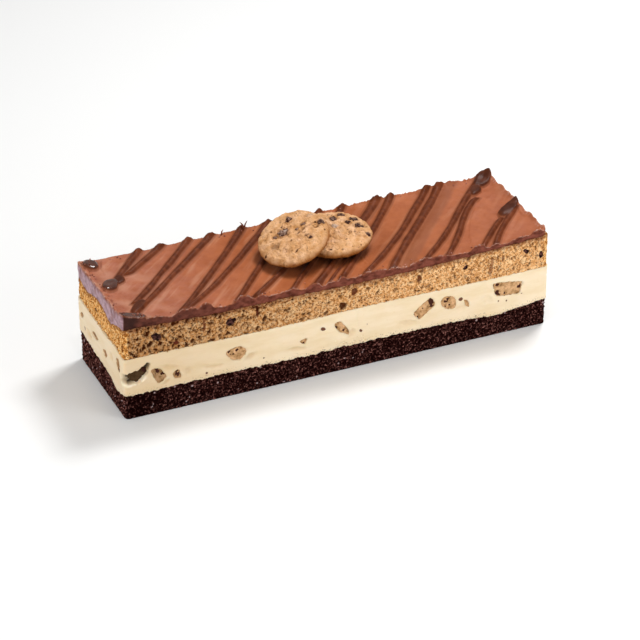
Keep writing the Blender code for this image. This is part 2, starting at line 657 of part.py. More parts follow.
def build_cookie(name, seed, collection):
    """A domed cookie with a rounded rim, low lumps and chips, placed as it lies on the cake."""
    lies = COOKIES[name]
    shape = bmesh.new()
    bmesh.ops.create_uvsphere(shape, u_segments=COOKIE_SEGMENTS, v_segments=COOKIE_RINGS, radius=1.0)
    offset = Vector((seed * 11.0, 0, 0))
    for vertex in shape.verts:
        climb = max(-1.0, min(1.0, vertex.co.z))
        reach = max(0.0, 1.0 - climb * climb) ** (RIM_FULLNESS / 2) * lies.radius
        height = copysign(abs(climb) ** CROWN_FLATNESS * lies.thickness / 2, climb)
        flat = Vector((vertex.co.x, vertex.co.y, 0)).normalized()
        vertex.co = flat * reach + Vector((0, 0, height))
        if climb > 0:
            vertex.co.z += COOKIE_LUMP * noise.noise(vertex.co / COOKIE_LUMP_SPACING + offset)
    cookie = object_of(shape, name, collection, "cookie")
    chips = []
    for k, (x, y, radius) in enumerate(lies.chips):
        chip = lumpy_ball((radius,) * 3, ROUGH_LUMP, seed * 20 + k, 2)
        chip.transform(Matrix.Translation((x, y, lies.crown(x, y) - CHIP_SINK * radius)))
        chips.append(object_of(chip, "chip", collection))
    combine(cookie, chips, "UNION")
    cookie.matrix_world = lies.matrix()
    return cookie


def main():
    """Builds the cake from the bottom up."""
    clear_scene()
    cake = new_collection("cookie_cake")
    layer("chocolate_sponge", CAKE_LENGTH, CAKE_WIDTH, lambda x, y: 0.0,
          lambda x, y: SPONGE_CREAM.height(x, y) - SEAT_GAP / 2, 3, 0.0005, 1, cake)
    dough = list(FRONT_AND_LEFT_DOUGH)
    dough += spread_dough("back", BACK_DOUGH_COUNT, -CAKE_LENGTH / 2 + 0.012, CAKE_LENGTH / 2 - 0.012)
    dough += spread_dough("right", RIGHT_DOUGH_COUNT, -CAKE_WIDTH / 2 + 0.010, CAKE_WIDTH / 2 - 0.010)
    build_cream(dough, cake)
    for seed, piece in enumerate(dough):
        object_of(dough_shape(piece, seed, 0.0, True), f"dough_piece_{seed + 1:02d}", cake, "cookie_dough")
    build_golden_sponge(cake)
    build_topping(cake)
    for seed, name in enumerate(COOKIES):
        build_cookie(name, seed + 1, cake)


main()
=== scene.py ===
"""Visual model of a cookie cake: a bar cake in four layers with a drizzled topping and two cookies.

Every length here is in millimetres until put_mesh() turns it to metres.
+X runs along the cake, +Y away from the viewer and +Z up; z = 0 is the cake's underside.
"""

import logging
from dataclasses import dataclass
from enum import Enum

import bpy
import numpy as np
from mathutils import Matrix, Vector, noise

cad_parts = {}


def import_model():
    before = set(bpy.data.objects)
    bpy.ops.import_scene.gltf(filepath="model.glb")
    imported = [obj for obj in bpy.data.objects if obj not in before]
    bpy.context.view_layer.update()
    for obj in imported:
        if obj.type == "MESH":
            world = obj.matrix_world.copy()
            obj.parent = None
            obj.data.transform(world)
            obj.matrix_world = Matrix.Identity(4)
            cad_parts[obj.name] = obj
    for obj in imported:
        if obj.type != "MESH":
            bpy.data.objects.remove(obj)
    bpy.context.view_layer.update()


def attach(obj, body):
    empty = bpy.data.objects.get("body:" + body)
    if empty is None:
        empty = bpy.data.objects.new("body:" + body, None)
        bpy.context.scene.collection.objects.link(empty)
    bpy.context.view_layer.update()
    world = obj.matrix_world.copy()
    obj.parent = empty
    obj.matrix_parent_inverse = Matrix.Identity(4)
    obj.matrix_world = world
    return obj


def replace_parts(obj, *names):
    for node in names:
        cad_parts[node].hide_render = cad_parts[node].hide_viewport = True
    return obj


METRE = 0.001
CAKE_LENGTH = 280.0
CAKE_WIDTH = 79.0
CORNER_RADIUS = 2.4
SIDE_DEPTH = 4.5  # how far behind a side of the cake a spot on it still counts
FAR = 9.0  # share given to places that a spot doesn't reach
LOG = logging.getLogger("cookie_cake")

# The sockets of the colour mixing node, by number.
MIX_FACTOR, MIX_A, MIX_B, MIX_COLOUR = 0, 6, 7, 2

# Short names for the types.
Array = np.ndarray
Piece = bpy.types.Object
Material = bpy.types.Material
Socket = bpy.types.NodeSocket
Marks = dict[str, Array]


def smooth_step(low: float, high: float, values: Array) -> Array:
    """Runs from 0 at low to 1 at high by 3s^2 - 2s^3; high may be below low."""
    share = np.clip((values - low) / (high - low), 0.0, 1.0)
    return share * share * (3.0 - 2.0 * share)


def bell(values: Array, middle: float, width: float) -> Array:
    """exp(-((value - middle) / width)^2): 1 at the middle and almost 0 two widths from it."""
    return np.exp(-(((values - middle) / width) ** 2))


def turned(across: Array, up: Array, degrees: float) -> tuple[Array, Array]:
    """Reads places along the two axes of a shape that is turned clockwise."""
    turn = np.radians(degrees)
    return across * np.cos(turn) - up * np.sin(turn), across * np.sin(turn) + up * np.cos(turn)


def unit(ways: Array) -> Array:
    """Brings ways (..., 3) to length 1."""
    return ways / np.maximum(np.linalg.norm(ways, axis=-1, keepdims=True), 1e-9)


def on_floor(x: Array, y: Array) -> Array:
    """Places (..., 3) at height 0."""
    return np.stack([x, y, np.zeros_like(x)], axis=-1)


def circle(count: int) -> Array:
    """Evenly spaced angles of a full turn."""
    return np.linspace(0.0, 2 * np.pi, count, endpoint=False)


class Grain:
    """Solid noise on a hashed lattice, the same for the same seed."""

    def __init__(self, seed: int) -> None:
        """Draws the lattice's random tables from the seed."""
        draw = np.random.default_rng(seed)
        self.order = draw.permutation(256)
        self.slopes = unit(draw.normal(size=(256, 3)))
        self.seats = draw.uniform(0.08, 0.92, size=(256, 3))
        self.numbers = draw.uniform(size=256)

    def pick(self, cell: Array) -> Array:
        """Hashes whole lattice cells (n, 3) to table places."""
        cell = cell & 255
        first = self.order[cell[:, 0]]
        second = self.order[(first + cell[:, 1]) & 255]
        return self.order[(second + cell[:, 2]) & 255]

    def smooth(self, points: Array, spacing: float) -> Array:
        """Gradient noise of about -1 to 1.

        Each lattice corner has a random slope; its dot product with the way to the point is
        weighed by 6t^5 - 15t^4 + 10t^3 along each axis, and the eight are added up.

        Args:
            points: places in mm, (..., 3).
            spacing: lattice spacing in mm.

        Returns:
            The noise, shape (...).
        """
        flat = points.reshape(-1, 3) / spacing
        base = np.floor(flat).astype(np.int64)
        part = flat - base
        fade = part**3 * (part * (part * 6.0 - 15.0) + 10.0)
        total = np.zeros(len(flat))
        for corner in np.ndindex(2, 2, 2):
            step = np.array(corner)
            rise = np.einsum("ij,ij->i", self.slopes[self.pick(base + step)], part - step)
            total += rise * np.prod(np.where(step == 1, fade, 1.0 - fade), axis=1)
        return 1.7 * total.reshape(points.shape[:-1])

    def rough(self, points: Array, spacing: float, octaves: int = 3) -> Array:
        """Noise added up over octaves, each half as wide and 0.55 times as high.

        Args:
            points: places in mm, (..., 3).
            spacing: widest spacing in mm.
            octaves: how many layers.

        Returns:
            The noise, shape (...).
        """
        total = np.zeros(points.shape[:-1])
        for octave in range(octaves):
            total += 0.55**octave * self.smooth(points + 31.7 * octave, spacing / 2**octave)
        return total

    def cells(self, points: Array, spacing: float) -> tuple[Array, Array]:
        """Distance to the nearest of seeds scattered one to a cell, and that seed's own number.

        Args:
            points: places in mm, (..., 3).
            spacing: cell size in mm.

        Returns:
            Distances in cell sizes, and the seeds' numbers from 0 to 1.
        """
        flat = points.reshape(-1, 3) / spacing
        base = np.floor(flat).astype(np.int64)
        nearest = np.full(len(flat), np.inf)
        number = np.zeros(len(flat))
        for shift in np.ndindex(3, 3, 3):
            cell = base + np.array(shift) - 1
            place = self.pick(cell)
            gap = np.linalg.norm(flat - cell - self.seats[place], axis=1)
            number = np.where(gap < nearest, self.numbers[place], number)
            nearest = np.minimum(gap, nearest)
        shape = points.shape[:-1]
        return nearest.reshape(shape), number.reshape(shape)


def put_mesh(name: str, points: Array, faces: tuple[Array, ...], marks: Marks, material: Material) -> Piece:
    """Puts a surface into a new object at the origin.

    Args:
        name: name of the piece.
        points: corners in mm, (n, 3).
        faces: corner numbers, one table for each kind of face: four-sided, three-sided.
        marks: values from 0 to 1 for each corner that the finish reads.
        material: its finish.

    Returns:
        The new object.
    """
    mesh = bpy.data.meshes.new(name)
    mesh.vertices.add(len(points))
    mesh.vertices.foreach_set("co", (points * METRE).astype(np.float32).ravel())
    corners = np.concatenate([kind.ravel() for kind in faces]).astype(np.int32)
    mesh.loops.add(len(corners))
    mesh.loops.foreach_set("vertex_index", corners)
    sizes = np.concatenate([np.full(len(kind), kind.shape[1]) for kind in faces])
    mesh.polygons.add(len(sizes))
    mesh.polygons.foreach_set("loop_start", (np.cumsum(sizes) - sizes).astype(np.int32))
    mesh.update(calc_edges=True)
    mesh.shade_smooth()
    for mark, values in marks.items():
        layer = mesh.attributes.new(mark, "FLOAT", "POINT")
        layer.data.foreach_set("value", np.clip(values, 0.0, 1.0).astype(np.float32).ravel())
    mesh.materials.append(material)
    piece = bpy.data.objects.new(name, mesh)
    bpy.context.scene.collection.objects.link(piece)
    return piece


def ring_faces(rows: int, around: int) -> tuple[Array, Array]:
    """Faces of a closed skin of rings between two poles.

    The rings run counter-clockwise seen from the upper pole. The lower pole is corner
    rows * around, the upper one the next.

    Args:
        rows: number of rings.
        around: corners in each ring.

    Returns:
        Quads and pole triangles.
    """
    index = np.arange(rows * around).reshape(rows, around)
    right = np.roll(index, -1, axis=1)
    quads = np.stack([index[:-1], right[:-1], right[1:], index[1:]], axis=-1).reshape(-1, 4)
    low = np.full(around, rows * around)
    bottom = np.stack([right[0], index[0], low], axis=-1)
    top = np.stack([index[-1], right[-1], low + 1], axis=-1)
    return quads, np.concatenate([bottom, top])


def with_poles(rings: Array) -> Array:
    """Rows of a grid one after another, and then the means of its first and its last row."""
    return np.concatenate([rings.reshape(-1, *rings.shape[2:]), rings[[0, -1]].mean(axis=1)])


def skin(name: str, rings: Array, marks: Marks, material: Material) -> Piece:
    """Makes a closed piece of rings (rows, around, 3) from its lower pole to its upper."""
    worn = {mark: with_poles(values) for mark, values in marks.items()}
    return put_mesh(name, with_poles(rings), ring_faces(*rings.shape[:2]), worn, material)


def outline(length: float, width: float, radius: float, step: float) -> tuple[Array, Array]:
    """A rounded rectangle round the origin: four quarter arcs joined by straight runs.

    Args:
        length: size along X.
        width: size along Y.
        radius: corner radius.
        step: spacing of the points.

    Returns:
        Points (n, 2), counter-clockwise from the front-left arc, and outward ways (n, 2).
    """
    places, ways = [], []
    turns = max(2, int(round(radius * np.pi / 2 / step)))
    for quarter, signs in enumerate(((-1, -1), (1, -1), (1, 1), (-1, 1))):
        angle = np.pi * (1.0 + 0.5 * quarter)
        middle = np.array(signs) * (np.array([length, width]) / 2 - radius)
        arc = angle + np.linspace(0.0, np.pi / 2, turns, endpoint=False)
        way = np.stack([np.cos(arc), np.sin(arc)], axis=-1)
        out = np.array([np.cos(angle + np.pi / 2), np.sin(angle + np.pi / 2)])
        run = (length, width)[quarter % 2] - 2 * radius
        shares = np.linspace(0.0, run, int(round(run / step)), endpoint=False)[:, None]
        places += [middle + radius * way, middle + radius * out + np.array([-out[1], out[0]]) * shares]
        ways += [way, np.repeat(out[None], len(shares), axis=0)]
    return np.concatenate(places), np.concatenate(ways)


def linear(colour: str) -> tuple[float, float, float, float]:
    """Turns an sRGB hex colour to linear light."""
    parts = np.array([int(colour[i : i + 2], 16) for i in (1, 3, 5)]) / 255.0
    values = np.where(parts <= 0.04045, parts / 12.92, ((parts + 0.055) / 1.055) ** 2.4)
    return (*map(float, values), 1.0)


def add_node(
    tree: bpy.types.NodeTree,
    kind: str,
    settings: dict | None = None,
    inputs: dict | None = None,
    stops: tuple = (),
) -> bpy.types.Node:
    """Adds one node, sets it and links what feeds it.

    Args:
        tree: node tree that gets the node.
        kind: the node's type name.
        settings: its fields.
        inputs: by socket name or number, a value or the socket that feeds it.
        stops: a colour ramp's stops, each a place and a hex colour.

    Returns:
        The node.
    """
    node = tree.nodes.new(kind)
    for key, value in (settings or {}).items():
        setattr(node, key, value)
    for key, value in (inputs or {}).items():
        if isinstance(value, Socket):
            tree.links.new(value, node.inputs[key])
        else:
            node.inputs[key].default_value = value
    if stops:
        ramp = node.color_ramp.elements
        while len(ramp) < len(stops):
            ramp.new(0.5)
        for element, (place, colour) in zip(ramp, stops):
            element.position = place
            element.color = linear(colour)
    return node


class Recipe:
    """A material under construction: its node tree and the object coordinates."""

    def __init__(self, name: str) -> None:
        """Starts an empty material of that name."""
        self.material = bpy.data.materials.new(name)
        self.material.use_nodes = True
        self.tree = self.material.node_tree
        self.tree.nodes.clear()
        self.place = add_node(self.tree, "ShaderNodeTexCoord").outputs["Object"]

    def mark(self, name: str) -> Socket:
        """Reads a vertex mark of the piece."""
        return add_node(self.tree, "ShaderNodeAttribute", {"attribute_name": name}).outputs["Fac"]

    def noise(self, spacing: float, detail: float = 3.0, stretch: tuple = (1, 1, 1)) -> Socket:
        """Fractal noise on object coordinates.

        Args:
            spacing: width of its widest lumps in mm.
            detail: number of finer octaves.
            stretch: how many times each axis is drawn out.

        Returns:
            Its value socket.
        """
        scale = tuple(1.0 / value for value in stretch)
        place = add_node(self.tree, "ShaderNodeMapping", None, {"Scale": scale, "Vector": self.place})
        inputs = {"Scale": 1.0 / (spacing * METRE), "Detail": detail, "Roughness": 0.6}
        inputs["Vector"] = place.outputs[0]
        return add_node(self.tree, "ShaderNodeTexNoise", None, inputs).outputs["Fac"]

    def cells(self, spacing: float) -> Socket:
        """Distance to scattered seeds about spacing mm apart, for pores and grains."""
        inputs = {"Scale": 1.0 / (spacing * METRE), "Vector": self.place}
        return add_node(self.tree, "ShaderNodeTexVoronoi", None, inputs).outputs["Distance"]

    def ramp(self, source: Socket, *stops: tuple[float, str]) -> Socket:
        """Maps a value to colours by stops of place and hex colour."""
        return add_node(self.tree, "ShaderNodeValToRGB", None, {"Fac": source}, stops).outputs["Color"]

    def sum(self, source: Socket, factor: Socket | float, other: Socket | float) -> Socket:
        """Gives source * factor + other."""
        inputs = {0: source, 1: factor, 2: other}
        return add_node(self.tree, "ShaderNodeMath", {"operation": "MULTIPLY_ADD"}, inputs).outputs[0]

    def limit(self, source: Socket, low: float, high: float, most: float = 1.0) -> Socket:
        """Steps smoothly from 0 where the value is low to the most where it is high."""
        settings = {"interpolation_type": "SMOOTHSTEP"}
        inputs = {"From Min": low, "From Max": high, "To Max": most, "Value": source}
        return add_node(self.tree, "ShaderNodeMapRange", settings, inputs).outputs["Result"]

    def blend(self, share: Socket, first: Socket, second: Socket | str) -> Socket:
        """Mixes two colours.

        Args:
            share: how much of the second.
            first: colour below.
            second: colour above, a socket or a hex colour.

        Returns:
            The mixed colour.
        """
        above = linear(second) if isinstance(second, str) else second
        inputs = {MIX_FACTOR: share, MIX_A: first, MIX_B: above}
        return add_node(self.tree, "ShaderNodeMix", {"data_type": "RGBA"}, inputs).outputs[MIX_COLOUR]

    def lay(self, base: Socket, **colours: Socket | str) -> Socket:
        """Lays colours over the base in turn, each where the piece's mark of that name says."""
        for mark, colour in colours.items():
            base = self.blend(self.mark(mark), base, colour)
        return base

    def bump(self, source: Socket, height: float, below: Socket | None = None) -> Socket:
        """Bends the normal by a relief.

        Args:
            source: relief from 0 to 1.
            height: its real height in mm.
            below: normal it is added to.

        Returns:
            The bent normal.
        """
        inputs = {"Strength": 1.0, "Distance": height * METRE, "Height": source}
        if below is not None:
            inputs["Normal"] = below
        return add_node(self.tree, "ShaderNodeBump", None, inputs).outputs["Normal"]

    def finish(
        self, colour: Socket, normal: Socket, roughness: Socket | float, more: dict[str, object]
    ) -> Material:
        """Closes the material with its surface.

        Args:
            colour: base colour.
            normal: bent normal.
            roughness: number or socket.
            more: the surface's other inputs.

        Returns:
            The material.
        """
        inputs = {"Base Color": colour, "Normal": normal, "Roughness": roughness, **more}
        surface = add_node(self.tree, "ShaderNodeBsdfPrincipled", None, inputs)
        add_node(self.tree, "ShaderNodeOutputMaterial", None, {"Surface": surface.outputs[0]})
        return self.material


@dataclass(frozen=True)
class GoldenCrumb:
    """Baked golden sponge, cut with a knife: matt, light crumb walls round brown pores."""

    light: str = "#F6CD99"
    middle: str = "#E0A56A"
    low: str = "#B67C42"
    # Painted shade in the pores, large and small.
    pore: str = "#3C1400"
    small_pore: str = "#642E06"
    crust: str = "#DE9A50"
    crust_low: str = "#8E5018"
    crust_light: str = "#FAD090"
    shaded: str = "#6E3C0C"
    soaked: str = "#6A3220"
    chip: str = "#1E0E0C"
    # Painted highlights on the chips, scattered by noise.
    chip_light: str = "#6A443E"

    def material(self) -> Material:
        """Pores and chips come from the piece's marks, the finer crumb from noise."""
        mix = Recipe("baked_golden_sponge_cut")
        fine = mix.noise(1.6)
        base = mix.ramp(fine, (0.30, self.low), (0.46, self.middle), (0.64, self.light))
        crust = mix.ramp(fine, (0.34, self.crust_low), (0.48, self.crust), (0.62, self.crust_light))
        base = mix.lay(base, crust=crust)
        # The small pores from cells get painted shade.
        base = mix.blend(mix.limit(mix.cells(1.15), 0.44, 0.15, 0.9), base, self.small_pore)
        base = mix.lay(base, shade=self.shaded, stain=self.soaked, pore=self.pore)
        chip = mix.ramp(mix.noise(1.7, 2.0), (0.42, self.chip), (0.66, self.chip_light))
        base = mix.blend(mix.limit(mix.mark("chip"), 0.35, 0.65), base, chip)
        return mix.finish(base, mix.bump(fine, 0.4), 0.9, {"Specular IOR Level": 0.04, "IOR": 1.45})


@dataclass(frozen=True)
class ChocolateCrumb:
    """Baked dark chocolate sponge, cut: near black and matt, with small rosy brown crumb walls."""

    # deep also serves as painted shade in the pores and crevices.
    deep: str = "#120303"
    body: str = "#401E1A"
    light: str = "#AA746A"
    # Painted glint: pale specks on the crests of a few crumb lumps.
    speck: str = "#B09A9A"

    def material(self) -> Material:
        """Crumb walls come from noise; the marks say where the painted shade of the pores and crevices and
        the painted glints lie.
        """
        mix = Recipe("baked_chocolate_sponge_cut")
        fine = mix.noise(1.1, 3.5)
        base = mix.ramp(fine, (0.43, self.deep), (0.53, self.body), (0.67, self.light))
        base = mix.lay(base, pore=self.deep, speck=self.speck)
        return mix.finish(base, mix.bump(fine, 0.5), 0.9, {"Specular IOR Level": 0.0, "IOR": 1.45})


@dataclass(frozen=True)
class SetCream:
    """Whipped vanilla cream, set and cut: smooth, pale ivory, faintly smeared by the knife."""

    light: str = "#F1DDBD"
    warm: str = "#EAD3AC"
    shade: str = "#3A2810"
    # Painted shade in the torn hollow.
    torn: str = "#FFF3DA"
    # Painted highlight on the raised lip of the torn corner.
    dusk: str = "#D2B284"
    # Painted shade towards the left and in the dents.
    crumb: str = "#6E5038"
    fleck: str = "#6A3A22"

    def material(self) -> Material:
        """Faint lengthwise smears, painted shade towards the left, in the dents and in the torn hollow, a
        painted highlight on the torn lip, and dark crumb dusted near the lower seam.
        """
        mix = Recipe("set_vanilla_cream_cut")
        smear = mix.noise(9.0, 3.0, (2.5, 2.5, 0.6))
        base = mix.ramp(smear, (0.35, self.warm), (0.62, self.light))
        base = mix.blend(mix.limit(mix.noise(2.2, 2.0), 0.62, 0.78), base, self.warm)
        specks = mix.limit(mix.noise(0.8, 1.0), 0.60, 0.68)
        base = mix.blend(mix.sum(specks, mix.mark("dust"), 0.0), base, self.crumb)
        base = mix.lay(base, dusk=self.dusk, torn=self.torn, hollow=self.shade)
        base = mix.blend(mix.limit(mix.mark("fleck"), 0.3, 0.7), base, self.fleck)
        normal = mix.bump(mix.noise(1.6), 0.12, mix.bump(smear, 0.15))
        more = {"IOR": 1.45, "Specular IOR Level": 0.4, "Subsurface Weight": 0.25}
        more |= {"Subsurface Radius": (1.0, 0.7, 0.4), "Subsurface Scale": 2.0 * METRE}
        return mix.finish(base, normal, 0.45, more)


@dataclass(frozen=True)
class MilkChocolate:
    """Poured milk chocolate with a darker drizzle: satin ground, glossier ropes, cut sides."""

    ground: str = "#A0562E"
    ground_light: str = "#AE6238"
    drizzle: str = "#5A2810"
    drizzle_light: str = "#72381C"
    flank: str = "#74422A"
    cut: str = "#804434"
    cut_low: str = "#522213"
    # Painted reflection: a pale lavender grey standing in for the bright surroundings mirrored on the left
    # cut side and on the ground near both ends.
    bloom: str = "#BC9CA6"
    bloom_low: str = "#8A6C74"
    sheen: str = "#CC9270"
    # Darkest tone: the pools' darker chocolate, and painted shade at the front-left corner and round the
    # cookies.
    corner: str = "#24100C"
    # Painted highlight where light catches the rims.
    burr: str = "#D6AFA2"

    def material(self) -> Material:
        """Ropes are dark with a lighter flank; wet pools get a clear coat; the left cut side and the ground
        near the ends get a pale painted reflection.
        """
        mix = Recipe("poured_milk_chocolate_drizzled")
        base = mix.ramp(mix.noise(10.0), (0.35, self.ground), (0.65, self.ground_light))
        base = mix.lay(base, sheen=self.sheen)
        rope = mix.ramp(mix.noise(5.0), (0.4, self.drizzle), (0.62, self.drizzle_light))
        base = mix.blend(mix.limit(mix.mark("drizzle"), 0.02, 0.45, 0.5), base, self.flank)
        base = mix.blend(mix.limit(mix.mark("drizzle"), 0.62, 0.97), base, rope)
        streaks = mix.noise(5.0, 3.0, (1.0, 1.0, 0.7))
        cut = mix.ramp(streaks, (0.35, self.cut_low), (0.6, self.cut))
        # The painted reflection, streaked like the cut.
        bloom = mix.ramp(streaks, (0.3, self.bloom_low), (0.6, self.bloom))
        base = mix.lay(base, cut=cut, bloom=bloom, dark=self.corner, burr=self.burr)
        normal = mix.bump(mix.noise(0.9), 0.03, mix.bump(mix.noise(4.0, 2.0), 0.14))
        more = {"IOR": 1.5, "Specular IOR Level": 0.1, "Coat Roughness": 0.06, "Coat IOR": 1.5}
        more["Coat Weight"] = mix.limit(mix.mark("gloss"), 0.55, 0.95, 0.8)
        return mix.finish(base, normal, mix.sum(mix.mark("gloss"), -0.3, 0.55), more)


@dataclass(frozen=True)
class BakedCookie:
    """Baked cookie: golden, matt and finely cracked, browner at the foot of its rim, partly painted shade
    there, with dark chips.
    """

    light: str = "#F2C298"
    body: str = "#DCA774"
    low: str = "#C48A52"
    # Baked browning, and painted shade on the lower rim and round the spots.
    brown: str = "#94561E"
    # Dark specks, and painted shade in the fissures, pits and grooves.
    crack: str = "#4E2A10"
    chip: str = "#3C2018"
    milky: str = "#8A6A58"
    # Grey blooming on the chips, partly a painted highlight on their crests.
    bloom: str = "#BCA89A"

    def material(self) -> Material:
        """Chips go greyish on their crests, blooming chocolate and partly a painted highlight; cracks, pits
        and grooves go dark, partly painted shade.
        """
        mix = Recipe("baked_chocolate_chip_cookie")
        fine = mix.noise(5.0, 4.0)
        base = mix.ramp(fine, (0.26, self.low), (0.46, self.body), (0.70, self.light))
        base = mix.lay(base, brown=self.brown, crack=self.crack)
        crest = mix.sum(mix.mark("chip"), 0.5, mix.sum(mix.noise(1.6, 2.0), 1.5, -0.93))
        crest = mix.sum(mix.mark("milky"), 1.6, crest)
        chip = mix.ramp(crest, (0.25, self.chip), (0.55, self.milky), (0.85, self.bloom))
        base = mix.blend(mix.limit(mix.mark("chip"), 0.15, 0.45), base, chip)
        normal = mix.bump(mix.noise(1.3), 0.8, mix.bump(fine, 0.6))
        roughness = mix.sum(mix.mark("chip"), -0.35, 0.75)
        return mix.finish(base, normal, roughness, {"IOR": 1.45, "Specular IOR Level": 0.12})


@dataclass(frozen=True)
class RawDough:
    """Unbaked cookie dough, broken: light brown, grainy and slightly greasy, with dark flecks."""

    light: str = "#DDB083"
    body: str = "#BA9063"
    low: str = "#86623B"
    shade: str = "#2C1A06"
    fleck: str = "#44241C"

    def material(self) -> Material:
        """Grains of flour and sugar, and flecks where the piece's marks say."""
        mix = Recipe("broken_cookie_dough")
        base = mix.ramp(mix.noise(2.4, 2.5), (0.30, self.low), (0.46, self.body), (0.66, self.light))
        base = mix.lay(base, shade=self.shade)
        base = mix.blend(mix.limit(mix.mark("fleck"), 0.2, 0.8), base, self.fleck)
        normal = mix.bump(mix.noise(1.0, 2.0), 0.3)
        return mix.finish(base, normal, 0.7, {"IOR": 1.45, "Specular IOR Level": 0.08})


@dataclass(frozen=True)
class LooseCrumb:
    """Loose crumbs torn off by the knife: matt and uneven in tone."""

    name: str
    dark: str
    light: str

    def material(self) -> Material:
        """One tone for each few crumbs, by a coarse noise."""
        mix = Recipe(self.name)
        base = mix.ramp(mix.noise(1.5, 1.0), (0.4, self.dark), (0.6, self.light))
        return mix.finish(base, mix.bump(mix.noise(0.5, 2.0), 0.1), 0.8, {"IOR": 1.45})


@dataclass(frozen=True)
class Swell:
    """A round rise of a level: height * exp(-distance^2 / reach^2)."""

    x: float
    y: float
    height: float
    reach: float


@dataclass(frozen=True)
class Level:
    """The height of a seam between two layers: a tilted plane, a wave along X, swells and crags."""

    front: float = 0.0
    rise_right: float = 0.0
    rise_back: float = 0.0
    wave: float = 0.0
    pitch: float = 100.0
    phase: float = 0.0
    swells: tuple[Swell, ...] = ()
    seed: int = 1
    crag: float = 0.0
    crag_spacing: float = 2.5

    def height(self, x: Array, y: Array) -> Array:
        """Height of the seam in mm.

        Args:
            x: places along the cake.
            y: places across it.

        Returns:
            The plane plus the wave, the swells and the seam's own crags.
        """
        z = self.front + self.rise_right * x / CAKE_LENGTH
        z = z + self.rise_back * (y / CAKE_WIDTH + 0.5)
        z = z + self.wave * np.sin(2 * np.pi * x / self.pitch + np.radians(self.phase))
        for swell in self.swells:
            away = (x - swell.x) ** 2 + (y - swell.y) ** 2
            z = z + swell.height * np.exp(-away / swell.reach**2)
        return z + self.crag * Grain(self.seed).rough(on_floor(x, y), self.crag_spacing)

    def carry(self, plan: Array) -> Array:
        """Brings a plan's places (..., 2) to the seam's height."""
        return np.concatenate([plan, self.height(plan[..., 0], plan[..., 1])[..., None]], axis=-1)


UNDERSIDE = Level()
SPONGE_CREAM = Level(
    16.2, 0.0, 5.0, 0.3, 110.0, 0.0,
    (Swell(105, -39.5, -2.1, 17), Swell(140, -39.5, 1.8, 14), Swell(-140, -26.5, -2.8, 7),
     Swell(140, 15, -2.0, 10), Swell(-40, 39.5, -1.8, 20)),
    seed=21, crag=0.72, crag_spacing=2.9,
)
CREAM_GOLDEN = Level(
    40.4, 0.7, 3.2, 0.4, 150.0, 21.5, (Swell(-140, -21.5, 1.5, 8),),
    seed=22, crag=0.4, crag_spacing=3.0,
)
GOLDEN_TOPPING = Level(
    59.9, 2.7, -2.2, 2.5, 320.0, -126.4,
    (Swell(-140, -17.5, -4.8, 10), Swell(-140, 24, -3.8, 13), Swell(140, 8, -1.5, 10),
     Swell(-90, -39.5, -2.4, 45)),
    seed=23, crag=0.6, crag_spacing=4.5,
)


class Side(Enum):
    """A side of the cake: the way to the viewer's right, the way out and the plane's distance."""

    FRONT = ((1, 0, 0), (0, -1, 0), CAKE_WIDTH / 2)
    RIGHT = ((0, 1, 0), (1, 0, 0), CAKE_LENGTH / 2)
    BACK = ((-1, 0, 0), (0, 1, 0), CAKE_WIDTH / 2)
    LEFT = ((0, -1, 0), (-1, 0, 0), CAKE_LENGTH / 2)

    def look(self, points: Array, along: float, z: float) -> tuple[Array, Array, Array]:
        """Places as one sees them who stands before the side and looks at a middle on it.

        Args:
            points: places in mm, (..., 3).
            along: the middle's x on the long sides, its y at the ends.
            z: the middle's height.

        Returns:
            How far right and how far up each place is, and whether it lies on this side.
        """
        right, out, plane = (np.array(part) for part in self.value)
        across = points @ right - along * right.sum()
        return across, points[..., 2] - z, plane - points @ out < SIDE_DEPTH


@dataclass(frozen=True)
class Spot:
    """An oval on one side of the cake; along is x on the long sides and y at the ends."""

    side: Side
    along: float
    z: float
    wide: float
    tall: float
    turn: float = 0.0

    @classmethod
    def row(cls, side: Side, *rows: tuple[float, ...]) -> tuple["Spot", ...]:
        """Makes a spot on the side from each row of along, z, wide, tall and turn."""
        return tuple(cls(side, *row) for row in rows)

    def share(self, points: Array, power: float = 2.0) -> Array:
        """How far points are from the oval's middle, 1 at its edge.

        The oval is (|u|/a)^p + (|w|/b)^p with u, w turned clockwise for the viewer.

        Args:
            points: places in mm, (..., 3).
            power: 2 for an oval, more for a fuller block.

        Returns:
            The share, shape (...), and FAR off the spot's side.
        """
        u, w, near = self.side.look(points, self.along, self.z)
        across, up = turned(u, w, self.turn)
        oval = np.abs(2 * across / self.wide) ** power + np.abs(2 * up / self.tall) ** power
        return np.where(near, oval ** (1 / power), FAR)


def strongest(spots: tuple[Spot, ...], points: Array, ragged: Array, out: float, full: float) -> Array:
    """The largest of the steps into each spot, from the share out to the share full, edges ragged."""
    return np.max([smooth_step(out, full, spot.share(points) + ragged) for spot in spots], axis=0)


